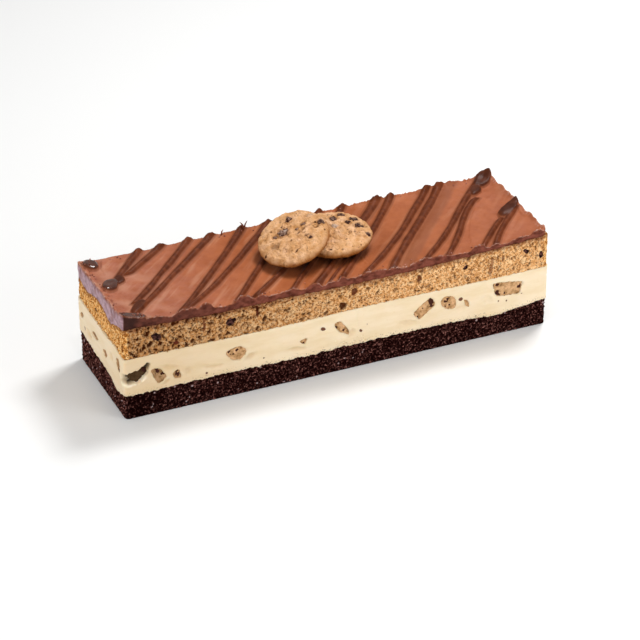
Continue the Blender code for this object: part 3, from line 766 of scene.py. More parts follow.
@dataclass(frozen=True)
class Layer:
    """One layer of the cake: an upright wall of rings with a closed top and bottom."""

    lower: Level
    upper: Level
    rows: int
    length: float = CAKE_LENGTH
    width: float = CAKE_WIDTH
    step: float = 0.5
    cap_scales: tuple[float, ...] = (0.05, 0.4, 0.75, 0.94, 0.985)

    def wall(self) -> tuple[Array, Array]:
        """The wall's grid: the outline carried up from the lower level to the upper.

        Returns:
            Places (rows + 1, around, 3) and outward ways (around, 3).
        """
        places, ways = outline(self.length, self.width, CORNER_RADIUS, self.step)
        low, high = self.lower.carry(places), self.upper.carry(places)
        share = np.linspace(0.0, 1.0, self.rows + 1)[:, None, None]
        return low + (high - low) * share, on_floor(*ways.T)

    def close(self, name: str, wall: Array, marks: Marks, material: Material) -> Piece:
        """Adds the hidden top and bottom, rings drawn in towards the middle, and makes the piece.

        Args:
            name: name of the piece.
            wall: finished wall grid.
            marks: its values for the finish.
            material: the finish.

        Returns:
            The piece.
        """
        scales = np.array(self.cap_scales)[:, None, None]
        bottom = self.lower.carry(scales * wall[0, :, :2])
        top = self.upper.carry(scales[::-1] * wall[-1, :, :2])
        ends = len(self.cap_scales)
        worn = {mark: np.pad(v, ((ends, ends), (0, 0)), mode="edge") for mark, v in marks.items()}
        return skin(name, np.concatenate([bottom, wall, top]), worn, material)


def open_crumb(points: Array, seed: int, pore: float, hole: float) -> tuple[Array, Array]:
    """Open crumb: torn pores of many sizes between thin walls.

    The places are warped by two scales of noise; a pore then steps from 1 near a scattered seed
    to 0 at a radius that grows with the square of the seed's own number. Finer pores lie between
    them, and larger holes round a part of another scatter's seeds.

    Args:
        points: places in mm.
        seed: for the scatter.
        pore: spacing of the pores.
        hole: spacing of the larger holes.

    Returns:
        Depth of the pores and of the larger holes, each 0 to 1.
    """
    shift = [Grain(seed + 5 + axis) for axis in range(3)]
    warp = [0.9 * grain.smooth(points, 2.3) + 0.45 * grain.smooth(points, 0.9) for grain in shift]
    torn = points + np.stack(warp, axis=-1)
    near, number = Grain(seed).cells(torn, pore)
    small = smooth_step(1.0, 0.45, near / (0.24 + 0.40 * number**2)) * (0.5 + 0.5 * number)
    near, number = Grain(seed + 2).cells(torn, 0.55 * pore)
    small = np.maximum(small, 0.7 * smooth_step(0.42, 0.2, near) * (number > 0.45))
    near, number = Grain(seed + 1).cells(torn, hole)
    radius = 0.12 + 0.34 * np.clip(number - 0.4, 0.0, 0.6)
    return small, smooth_step(1.0, 0.5, near / radius) * (number > 0.4)


def crumb_lumps(points: Array, seed: int, spacing: float) -> tuple[Array, Array]:
    """Rounded crumb lumps round scattered seeds: 1 on each crest to 0 in the crevices, and its number."""
    near, number = Grain(seed).cells(points, spacing)
    return smooth_step(0.75, 0.15, near), number


@dataclass
class ChocolateSponge:
    """The dark sponge at the foot of the cake, with a bumpy torn crumb."""

    layer: Layer = Layer(UNDERSIDE, SPONGE_CREAM, rows=48, step=0.43, length=279.4, width=78.6)
    lump: float = 0.65
    lump_spacing: float = 2.1
    fine_lump: float = 0.35
    fine_spacing: float = 1.1
    hole: float = 0.7
    hole_spacing: float = 4.5
    swell: float = 0.25
    swell_spacing: float = 7.0
    bend: float = 0.4
    bend_spacing: float = 1.7
    foot_push: float = 0.3
    corner_shade: float = 0.35
    seed: int = 30

    def build(self) -> Piece:
        """Pushes the wall in and out by the crumb, and makes the piece."""
        wall, out = self.layer.wall()
        x, y, z = np.moveaxis(wall, -1, 0)
        bent = wall + self.bend * Grain(self.seed + 4).smooth(wall, self.bend_spacing)[..., None]
        coarse, tone = crumb_lumps(bent, self.seed + 1, self.lump_spacing)
        fine, _ = crumb_lumps(bent, self.seed + 2, self.fine_spacing)
        _, large = open_crumb(wall, self.seed + 5, 1.5, self.hole_spacing)
        push = self.lump * (coarse - 0.75) + self.fine_lump * (fine - 0.75) - self.hole * large
        push += self.swell * Grain(self.seed + 3).smooth(wall, self.swell_spacing)
        push *= smooth_step(-0.2, 1.2, z) * (1 - self.foot_push) + self.foot_push
        points = wall + push[..., None] * out
        points[..., 2] = np.maximum(points[..., 2], 0.0)
        # pore paints shade into the holes and into the crevices between the lumps.
        pore = np.maximum(large, 1.0 - 0.65 * coarse - 0.5 * fine)
        # Painted shade darkens the front towards its left corner, and a painted sheen lightens the left end
        # a little.
        pore += self.corner_shade * smooth_step(-95.0, -135.0, x) * smooth_step(-37.5, -39.0, y)
        pore -= self.corner_shade * smooth_step(-138.6, -139.4, x)
        # speck: painted highlights on the crests of a few lumps.
        marks = {"pore": pore, "speck": (tone > 0.9) * smooth_step(0.8, 1.0, coarse)}
        piece = self.layer.close("chocolate_sponge_crumb", points, marks, ChocolateCrumb().material())
        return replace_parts(piece, "chocolate_sponge")


@dataclass(frozen=True)
class Mark(Spot):
    """A chip, hole or stain in the golden sponge."""

    chip: float = 0.0
    hole: float = 0.0
    stain: float = 0.0


@dataclass
class GoldenSponge:
    """The golden sponge with chocolate chips, brown and crusted at both ends."""

    layer: Layer = Layer(CREAM_GOLDEN, GOLDEN_TOPPING, rows=50, step=0.44, length=278.8, width=78.8)
    lump: float = 0.30
    lump_spacing: float = 2.6
    pore_depth: float = 0.75
    pore_spacing: float = 2.6
    wide_pore_spacing: float = 3.4
    hole_depth: float = 1.25
    hole_spacing: float = 4.0
    ragged: float = 0.34
    crust_width: float = 4.5
    crust_lump: float = 0.25
    crust_spacing: float = 4.0
    seed: int = 40
    # Rows of along, z, wide, tall and turn, and then how much of chip, hole and stain.
    marks: tuple[Mark, ...] = (
        *Mark.row(Side.FRONT, (-118.5, 51.5, 7.0, 5.2, 10, 1, 0.6),
            (-123.5, 47.3, 3.4, 3.2, 0, 0, 1, 0.6), (-107.0, 44.7, 4.4, 3.0, 20, 0.4, 0.4, 1),
            (-96.5, 43.5, 3.0, 3.0, 0, 0, 1, 0.4), (-89.0, 52.5, 2.0, 8.0, 0, 0, 0, 0.8),
            (-72.0, 51.0, 6.0, 5.4, 0, 1, 0.6), (-55.0, 54.0, 2.2, 8.0, 0, 0, 0.3, 1),
            (-50.0, 48.0, 3.0, 2.4, 0, 0, 0.9, 0.5), (0.5, 44.5, 4.6, 4.6, -30, 0, 1, 0.7),
            (8.0, 52.8, 4.0, 5.4, 0, 0, 0.4, 0.9), (51.0, 51.6, 3.0, 5.0, 0, 0, 0.5, 0.8),
            (51.0, 43.3, 2.0, 1.6, 0, 0, 0.9, 0.5), (82.5, 52.5, 3.6, 2.6, -20, 1, 0.7),
            (100.0, 49.0, 2.6, 13.0, 8, 0, 0, 0.6), (108.0, 53.0, 2.0, 4.0, 0, 0, 0.4, 0.6),
            (124.0, 54.2, 4.4, 2.8, 30, 1, 0.7), (134.6, 49.6, 3.0, 4.6, 0, 1, 0.7)),
        *Mark.row(Side.LEFT, (8.0, 50.0, 3.6, 3.0, 0, 0.8, 0.5), (-36.6, 47.4, 2.6, 5.6, 0, 0, 1, 1)),
        *Mark.row(Side.BACK, (-100.0, 52.0, 6.0, 4.6, 20, 1, 0.6), (-74.0, 47.0, 3.4, 3.0, 0, 0, 1, 0.5),
            (-48.0, 50.0, 4.6, 3.6, 0, 1, 0.6), (-20.0, 53.0, 2.2, 7.0, 0, 0, 0.3, 0.9),
            (15.0, 49.5, 5.0, 4.0, -20, 1, 0.6), (43.0, 46.5, 3.4, 2.8, 0, 0, 1, 0.5),
            (72.0, 50.0, 4.0, 3.4, 0, 1, 0.6), (104.0, 52.0, 2.6, 6.0, 0, 0, 0, 0.8)),
        *Mark.row(Side.RIGHT, (-18.0, 52.0, 4.6, 3.8, 0, 1, 0.6), (22.0, 50.0, 3.8, 3.0, 0, 0.9, 0.6)),
    )

    def build(self) -> Piece:
        """Pores, chips, holes and the crusted ends, pushed into the wall."""
        wall, out = self.layer.wall()
        x, y, z = np.moveaxis(wall, -1, 0)
        leftward = smooth_step(70.0, -140.0, x)
        small, large = open_crumb(wall, self.seed + 1, self.pore_spacing, self.hole_spacing)
        wide, _ = open_crumb(wall, self.seed + 7, self.wide_pore_spacing, self.hole_spacing)
        edge = self.ragged * Grain(self.seed + 3).rough(wall, self.lump_spacing)
        crust = smooth_step(0.0, 2.5, np.abs(x) - 139.5 + self.crust_width + 4 * edge)
        inner = leftward * (1 - crust)
        small = np.minimum(np.maximum(small * (1 + 0.4 * inner), 1.5 * wide * leftward * inner), 1.0)
        worn = {kind: np.zeros_like(small) for kind in ("chip", "hole", "stain")}
        for mark in self.marks:
            inside = smooth_step(1.15, 0.8, mark.share(wall) + edge)
            for kind, depth in worn.items():
                np.maximum(depth, getattr(mark, kind) * inside, out=depth)
        chip, hole = worn["chip"], worn["hole"]
        under_topping = smooth_step(3.4, 0.4, self.layer.upper.height(x, y) - z + 4 * edge)
        open_part = 1.0 - 0.8 * chip
        lumps = self.lump * Grain(self.seed + 4).rough(wall, self.lump_spacing)
        push = (lumps - self.pore_depth * small) * open_part
        push -= self.hole_depth * np.maximum(large * open_part, hole)
        push += crust * (self.crust_lump * Grain(self.seed + 5).rough(wall, self.crust_spacing) - 0.1)
        # pore paints shade into the pores and holes, more towards the left.
        pore = np.maximum(small * open_part, large) * (0.74 + 0.26 * leftward)
        marks = {
            "pore": np.maximum(pore, 0.8 * hole * (1 - chip)) * (1 - 0.45 * crust),
            "crust": crust,
            "chip": chip,
            "stain": np.maximum(worn["stain"], 0.6 * under_topping),
            "shade": 0.42 * inner,
        }
        points = wall + push[..., None] * out
        piece = self.layer.close("golden_sponge_crumb", points, marks, GoldenCrumb().material())
        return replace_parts(piece, "golden_sponge")


@dataclass(frozen=True)
class Chunk:
    """A chunk of cookie dough in the cream: a many-cornered face cut flush with a side of the cake."""

    side: Side
    along: float
    z: float
    corners: tuple[tuple[float, float], ...]
    flecks: tuple[tuple[float, float, float], ...] = ()
    recess: float = 0.0
    shade: float = 0.0
    fullness: float = 0.75
    sharpness: float = 12.0
    sink: float = 0.35
    depth_share: float = 0.30
    least_depth: float = 1.0
    face_grain: float = 0.26
    face_swell: float = 0.45
    face_set_back: float = 0.35
    fleck_depth: float = 0.25
    around: int = 110
    rings: int = 60

    def gauge(self, across: Array, up: Array) -> Array:
        """How far places are from the middle of the face, 1 at its outline.

        Each edge of the outline gives the distance along its outward way over its own; the edges
        are joined by a high-power sum, which rounds the corners.

        Args:
            across: places to the viewer's right.
            up: places upwards.

        Returns:
            The share, same shape.
        """
        total = np.zeros(np.shape(across))
        for (ax, ay), (bx, by) in zip(self.corners, self.corners[1:] + self.corners[:1]):
            out = np.array([ay - by, bx - ax])
            share = (out[0] * across + out[1] * up) / (out @ np.array([ax, ay]))
            total += np.clip(share, 0.0, FAR) ** self.sharpness
        return np.maximum(total, 1e-12) ** (1 / self.sharpness)

    def share(self, points: Array) -> Array:
        """The gauge of places on the cake's wall; those off the chunk's side count as far away."""
        across, up, near = self.side.look(points, self.along, self.z)
        return np.where(near, self.gauge(across, up), FAR)

    def shape(self, seed: int) -> tuple[Array, Marks]:
        """The chunk's skin: its outline drawn in to a pole behind and across a grainy face.

        Args:
            seed: for its lumps and flecks.

        Returns:
            Rings (rings, around, 3) in mm and the values for the finish.
        """
        right, out, plane = (np.array(part, float) for part in self.side.value)
        polar = np.linspace(np.pi * 0.985, np.pi * 0.015, self.rings)[:, None]
        angle = circle(self.around)[None]
        size = np.ptp(np.array(self.corners), axis=0).mean()
        deep = self.depth_share * size + self.least_depth
        grain = Grain(seed)
        wide = np.sin(polar) ** self.fullness / self.gauge(np.cos(angle), np.sin(angle))
        u, w = wide * np.cos(angle), wide * np.sin(angle)
        d = np.sign(np.cos(polar)) * np.abs(np.cos(polar)) ** self.fullness * deep + 0 * angle
        lumpy = np.stack([u, w, d], axis=-1)
        bump = 1.0 + 0.08 * grain.smooth(lumpy, 4.0) + 0.09 * grain.smooth(lumpy, 1.5)
        u, w, d = u * bump, w * bump, d * bump - self.sink * deep - self.recess
        flat = on_floor(u, w)
        face = self.face_grain * grain.rough(flat, 1.8) + self.face_swell * grain.smooth(flat, 4.5)
        face = face - self.face_set_back - self.recess
        near, number = grain.cells(lumpy, 2.6)
        fleck = smooth_step(0.24, 0.12, near) * (number > 0.86)
        ragged = 0.8 * grain.rough(flat, 1.6, 2)
        for across, up, radius in self.flecks:
            away = np.hypot(u - across, w - up) / radius + ragged
            fleck = np.maximum(fleck, smooth_step(1.15, 0.8, away))
        d = np.minimum(d, np.minimum(face - self.fleck_depth * fleck, -0.05))
        middle = right * self.along * right.sum() + np.array([0.0, 0.0, self.z]) + out * plane
        points = middle + u[..., None] * right + d[..., None] * out
        points[..., 2] += w
        rim = smooth_step(0.75, 1.05, self.gauge(u, w)) * (np.cos(polar) > 0)
        return points, {"fleck": fleck, "shade": np.maximum(self.shade, 0.2 * rim)}


@dataclass
class DoughChunks:
    """The chunks of cookie dough that show in the cream's sides."""

    named: tuple[Chunk, ...] = (
        Chunk(Side.FRONT, -131.3, 27.0, ((-5.6, 4.2), (6.8, 4.3), (7.5, 2.0), (0.5, -4.6), (-4.5, -2.0),
            (-5.6, 1.2)), ((4.6, 3.4, 1.6),), recess=2.2, shade=0.92),
        Chunk(Side.FRONT, -118.3, 25.3, ((-5.4, 5.3), (-1.4, 6.0), (0.9, 4.6), (5.4, -1.2), (4.5, -3.2),
            (0.5, -6.0), (-1.0, -5.2)), ((-0.4, 3.6, 1.3), (2.6, 0.8, 1.2)), shade=0.35),
        Chunk(Side.FRONT, -106.7, 22.9, ((-3.1, 1.4), (0.1, 3.6), (2.1, 2.3), (2.9, -3.0), (-2.0, -2.0)),
            ((0.3, 0.6, 1.5),), recess=0.5, shade=0.22),
        Chunk(Side.FRONT, -69.3, 28.0, ((-7.0, 2.6), (-2.9, 4.6), (1.9, 5.1), (6.6, 3.1), (7.0, -0.4),
            (3.3, -5.1), (-3.0, -3.4)), ((-4.6, 2.4, 0.8), (0.8, 2.8, 0.9), (-1.6, 0.2, 0.6))),
        Chunk(Side.FRONT, -25.5, 26.1, ((-2.5, 0.9), (1.6, 2.1), (2.5, 0.6), (0.8, -2.1), (-1.6, -1.0)),
            ((0.2, -1.2, 0.8),)),
        Chunk(Side.FRONT, -0.2, 29.5, ((-5.2, 4.9), (-1.5, 5.4), (2.4, 0.8), (5.4, -3.0), (4.4, -5.8),
            (-1.4, -2.6), (-4.6, 1.2)), ((-4.0, 1.4, 1.0), (1.0, -2.0, 0.8))),
        Chunk(Side.FRONT, 54.8, 29.7, ((-7.8, -1.1), (2.9, 6.9), (5.9, 6.2), (7.8, 3.4), (7.5, 0.7),
            (-3.2, -6.9), (-5.9, -5.5)), ((5.0, 4.0, 2.5), (4.8, 1.4, 1.3), (-4.4, -5.0, 0.9),
            (-1.0, 0.6, 0.6))),
        Chunk(Side.FRONT, 71.4, 30.3, ((-5.7, 2.5), (-3.2, 5.0), (2.1, 4.6), (4.9, 2.0), (5.7, -1.7),
            (4.7, -5.0), (0.1, -5.0), (-4.9, -1.6)), ((-0.8, 2.7, 0.9), (-2.2, 1.0, 0.8),
            (0.6, -1.4, 0.7))),
        Chunk(Side.FRONT, 83.7, 27.1, ((-2.2, 3.2), (0.4, 2.2), (1.8, -0.2), (2.0, -3.2), (-0.2, -2.0))),
        Chunk(Side.FRONT, 111.8, 31.3, ((-11.2, 5.8), (-6.2, 5.6), (11.2, 2.4), (10.1, -6.0),
            (-8.2, -4.5)), ((-7.2, 3.6, 1.2), (-6.8, -2.6, 1.9), (8.2, -0.6, 1.2), (-2.0, -3.4, 0.9))),
        Chunk(Side.LEFT, 32.6, 33.4, ((-3.3, 0.1), (0.4, 2.5), (3.3, 1.8), (1.0, -1.5), (-2.5, -2.5)),
            ((0.5, 0.8, 0.8),), shade=0.1),
        Chunk(Side.LEFT, 9.5, 31.4, ((-5.5, 0.2), (-0.8, 2.3), (5.5, 0.1), (1.9, -2.3), (-3.5, -1.8)),
            ((-1.5, 0.0, 0.9),), shade=0.3),
        Chunk(Side.LEFT, -7.4, 28.3, ((-4.1, 1.0), (1.6, 3.2), (4.1, 0.3), (0.8, -3.2), (-3.3, -1.6)),
            shade=0.2),
        Chunk(Side.LEFT, -30.2, 33.0, ((-3.5, 3.1), (1.4, 4.8), (3.4, 0.4), (2.4, -4.4), (-0.4, -4.4),
            (-3.1, -0.8)), ((1.4, -2.4, 1.3),), shade=0.3),
    )
    seed: int = 60

    def spread(self, side: Side, field_shift: float, count: int, reach: float, z: float) -> list[Chunk]:
        """Chunks along a side at the back, evenly spaced with fixed offsets, sizes and corners.

        Args:
            side: the side.
            field_shift: moves the draws in the noise field.
            count: how many.
            reach: half the length of their row.
            z: their mean height.

        Returns:
            The chunks.
        """
        made = []
        for k in range(count):
            draws = [Vector((3.37 * k + 0.5, 7.7 * draw + field_shift, 0.3)) for draw in range(10)]
            dice = [noise.noise(place) for place in draws]
            along = -reach + 2 * reach * (k + 0.5) / count + 6.0 * dice[0]
            wide = 5.5 + 12.5 * (0.5 + 0.5 * np.sin(5.1 * k + 1.0)) ** 1.4
            tall = wide * (0.55 + 0.25 * dice[2])
            angle = np.radians(60 * dice[3]) - 2 * np.pi * np.arange(6) / 6
            far = 1.0 + 0.22 * np.array(dice[4:10])
            corners = np.column_stack([wide * far * np.cos(angle), tall * far * np.sin(angle)]) / 2
            made.append(Chunk(side, along, z + 4.0 * dice[1], tuple(map(tuple, corners))))
        return made

    def all(self) -> tuple[Chunk, ...]:
        """Every chunk, in the order of its node's number."""
        back = self.spread(Side.BACK, 4.0, 7, 128.0, 31.6)
        return (*self.named, *back, *self.spread(Side.RIGHT, 5.0, 2, 29.5, 30.0))

    def build(self) -> list[Piece]:
        """Makes one piece for each chunk."""
        finish = RawDough().material()
        made = []
        for number, chunk in enumerate(self.all(), start=1):
            piece = skin(f"dough_chunk_{number:02d}", *chunk.shape(self.seed + number), finish)
            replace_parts(piece, f"dough_piece_{number:02d}")
            made.append(piece)
        return made


@dataclass
class VanillaCream:
    """The thick cream layer: smooth and smeared, with a pocket round each chunk of dough."""

    chunks: tuple[Chunk, ...]
    layer: Layer = Layer(SPONGE_CREAM, CREAM_GOLDEN, rows=50)
    most_out: float = 0.35
    smear: float = 0.14
    smear_spacing: float = 5.0
    smear_squeeze: tuple[float, float, float] = (0.35, 0.35, 1.6)
    swell: float = 0.26
    swell_spacing: float = 11.0
    ragged: float = 0.09
    ragged_spacing: float = 3.0
    pocket_depth: float = 2.0
    pocket_lip: float = 0.15
    torn: tuple[Spot, ...] = (
        *Spot.row(Side.FRONT, (-134.2, 27.6, 12.4, 7.4, -10), (-128.6, 30.2, 10.0, 5.4, -35),
            (-125.5, 33.2, 3.6, 5.6, 20)),
        *Spot.row(Side.LEFT, (-37.6, 28.4, 6.0, 5.0, 0)),
    )
    torn_depth: float = 4.2
    torn_lip: float = 0.45
    lumps: tuple[Spot, ...] = (
        *Spot.row(Side.FRONT, (-136.5, 22.2, 7.0, 3.6, 25), (-126.8, 24.4, 6.0, 6.0, 0),
            (0.0, 20.8, 16.0, 3.0, 0)),
    )
    lump_height: float = 0.35
    dents: tuple[Spot, ...] = (
        *Spot.row(Side.FRONT, (-111.5, 28.8, 13.0, 5.0, 20), (-99.5, 23.6, 7.0, 5.0, 50),
            (-113.6, 20.0, 6.0, 3.0, -30), (-84.0, 23.0, 16.0, 3.4, 8), (-60.0, 24.2, 9.0, 4.6, -20),
            (-30.0, 22.0, 14.0, 3.0, 10), (6.0, 24.6, 7.0, 6.0, -35), (44.0, 22.6, 16.0, 3.6, 10),
            (80.0, 25.4, 9.0, 6.0, -20), (98.5, 26.4, 8.0, 5.4, 30)),
        *Spot.row(Side.LEFT, (20.0, 27.0, 9.0, 5.0, 20), (-18.0, 32.0, 7.0, 6.0, -20)),
        *Spot.row(Side.BACK, (-88.0, 26.0, 12.0, 5.0, 15), (2.0, 34.0, 14.0, 4.0, -8),
            (52.0, 26.0, 10.0, 5.0, 25)),
        *Spot.row(Side.RIGHT, (0.0, 30.0, 9.0, 6.0, 15)),
    )
    dent_depth: float = 1.1
    patch: Spot = Spot(Side.FRONT, 4.6, 33.0, 10.4, 22.0)
    patch_height: float = 0.35
    flecks: tuple[Spot, ...] = (
        *Spot.row(Side.FRONT, (-12.8, 31.8, 3.4, 2.6, 30), (-88.1, 19.6, 1.6, 1.8),
            (-51.5, 21.0, 1.5, 1.0), (12.1, 24.8, 2.4, 1.6, 40), (16.5, 28.2, 1.0, 1.0),
            (79.4, 31.0, 2.8, 2.6), (105.7, 23.5, 1.3, 1.3), (111.5, 22.5, 1.2, 1.2),
            (121.9, 25.3, 1.0, 1.0), (90.5, 16.5, 1.2, 1.0)),
        *Spot.row(Side.BACK, (-60.0, 26.0, 1.8, 1.4), (30.0, 33.0, 1.4, 1.2), (88.0, 24.0, 1.6, 1.4)),
        *Spot.row(Side.LEFT, (28.4, 26.6, 3.4, 1.4, 40)),
        *Spot.row(Side.RIGHT, (4.0, 25.0, 1.6, 1.4)),
    )
    fleck_depth: float = 0.25
    seed: int = 50

    def build(self) -> Piece:
        """Smears the wall, sinks pockets, dents and the torn corner, and makes the piece."""
        wall, out = self.layer.wall()
        x, y, z = np.moveaxis(wall, -1, 0)
        squeezed = wall * np.array(self.smear_squeeze)
        push = self.smear * Grain(self.seed + 1).rough(squeezed, self.smear_spacing)
        push += self.swell * Grain(self.seed + 2).smooth(wall, self.swell_spacing)
        edge = self.ragged * Grain(self.seed + 3).rough(wall, self.ragged_spacing)
        for chunk in self.chunks:
            share = chunk.share(wall) + edge
            inside = smooth_step(1.0, 0.84, share)
            push += self.pocket_lip * bell(share, 1.2, 0.14)
            push = push * (1 - inside) - (self.pocket_depth + 1.4 * chunk.recess) * inside
        rim = np.min([spot.share(wall) + 1.6 * edge for spot in self.torn], axis=0)
        hollow = smooth_step(1.08, 0.84, rim)
        torn = bell(rim, 1.25, 0.2) * smooth_step(31.0, 26.0, z)
        push = (push + self.torn_lip * torn) * (1 - hollow) - self.torn_depth * hollow
        for spot in self.lumps:
            push += self.lump_height * smooth_step(1.2, 0.3, spot.share(wall) + edge) * (1 - hollow)
        dent = strongest(self.dents, wall, 2 * edge, 1.25, 0.3)
        push -= self.dent_depth * dent
        push += self.patch_height * smooth_step(1.04, 0.9, self.patch.share(wall, 6.0) + 0.4 * edge)
        fleck = strongest(self.flecks, wall, 3 * edge, 1.2, 0.7)
        push -= self.fleck_depth * fleck
        # Painted shade darkens the front towards its left, the left end less, and the dents more than that.
        dusk = 0.5 * smooth_step(-20.0, -130.0, x) * (1 - 0.6 * smooth_step(-138.5, -139.8, x))
        over_seam = z - self.layer.lower.height(x, y)
        marks = {
            "dust": 0.85 * smooth_step(3.8, 0.3, over_seam + 12 * edge),
            # hollow paints shade into the torn hollow.
            "hollow": 0.92 * hollow,
            "fleck": fleck,
            # torn is a painted highlight on the lip round the torn corner.
            "torn": 0.7 * torn,
            "dusk": np.maximum(dusk, 0.3 * dusk + 0.5 * dent * smooth_step(140.0, -60.0, x)),
        }
        points = wall + np.minimum(push, self.most_out)[..., None] * out
        piece = self.layer.close("vanilla_cream_smeared", points, marks, SetCream().material())
        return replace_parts(piece, "vanilla_cream")


@dataclass(frozen=True)
class Rope:
    """One drizzled rope: x goes from front_x to back_x, plus bow * sin(pi s) + twist * sin(2 pi s)."""

    front_x: float
    back_x: float
    bow: float = 0.0
    twist: float = 0.0
    start: float = -0.06
    stop: float = 1.06
    radius: float = 2.1
    height: float = 2.1
    tone: float = 1.0

    def middle(self, share: Array) -> Array:
        """The rope's x where share of the cake's width is in front of it."""
        straight = self.front_x + (self.back_x - self.front_x) * share
        return straight + self.bow * np.sin(np.pi * share) + self.twist * np.sin(2 * np.pi * share)

    def distance(self, x: Array, y: Array) -> Array:
        """Distance from the rope's middle line, rounded off past its two ends.

        Args:
            x: places along the cake.
            y: places across it.

        Returns:
            Distance in the rope's own radii, which grow a little towards the back.
        """
        share = y / CAKE_WIDTH + 0.5
        slope = (self.middle(share + 0.01) - self.middle(share - 0.01)) / (0.02 * CAKE_WIDTH)
        lean = 1.0 / np.sqrt(1.0 + slope**2)
        beyond = np.maximum(np.maximum(self.start - share, share - self.stop), 0.0)
        away = np.hypot((x - self.middle(share)) * lean, beyond * CAKE_WIDTH / lean)
        return away / (self.radius * (0.78 + 0.2 * share))


@dataclass(frozen=True)
class Pool:
    """A glossy pool of dark chocolate: a flat dome over an oval."""

    x: float
    y: float
    along: float
    across: float
    turn: float
    rise: float = 2.6

    def share(self, x: Array, y: Array) -> Array:
        """Distance from the pool's middle, 1 at its edge."""
        u, v = turned(x - self.x, y - self.y, -self.turn)
        return np.hypot(u / self.along, v / self.across)


@dataclass(frozen=True)
class Lip:
    """A scallop that the knife raised on the front edge: a flat-topped bump along X."""

    x: float
    wide: float
    height: float


@dataclass(frozen=True)
class Crease:
    """A fine ridge or furrow in the poured ground, along straight legs."""

    path: tuple[tuple[float, float], ...]
    height: float
    half_width: float = 0.7

    def relief(self, x: Array, y: Array) -> Array:
        """height * exp(-(distance / half width)^2) from the nearest leg.

        Args:
            x: places along the cake.
            y: places across it.

        Returns:
            The relief in mm.
        """
        nearest = np.full(x.shape, np.inf)
        for (ax, ay), (bx, by) in zip(self.path[:-1], self.path[1:]):
            run = np.array([bx - ax, by - ay])
            share = np.clip(((x - ax) * run[0] + (y - ay) * run[1]) / (run @ run), 0.0, 1.0)
            away = np.hypot(x - ax - share * run[0], y - ay - share * run[1])
            nearest = np.minimum(nearest, away)
        return self.height * bell(nearest, 0.0, self.half_width)


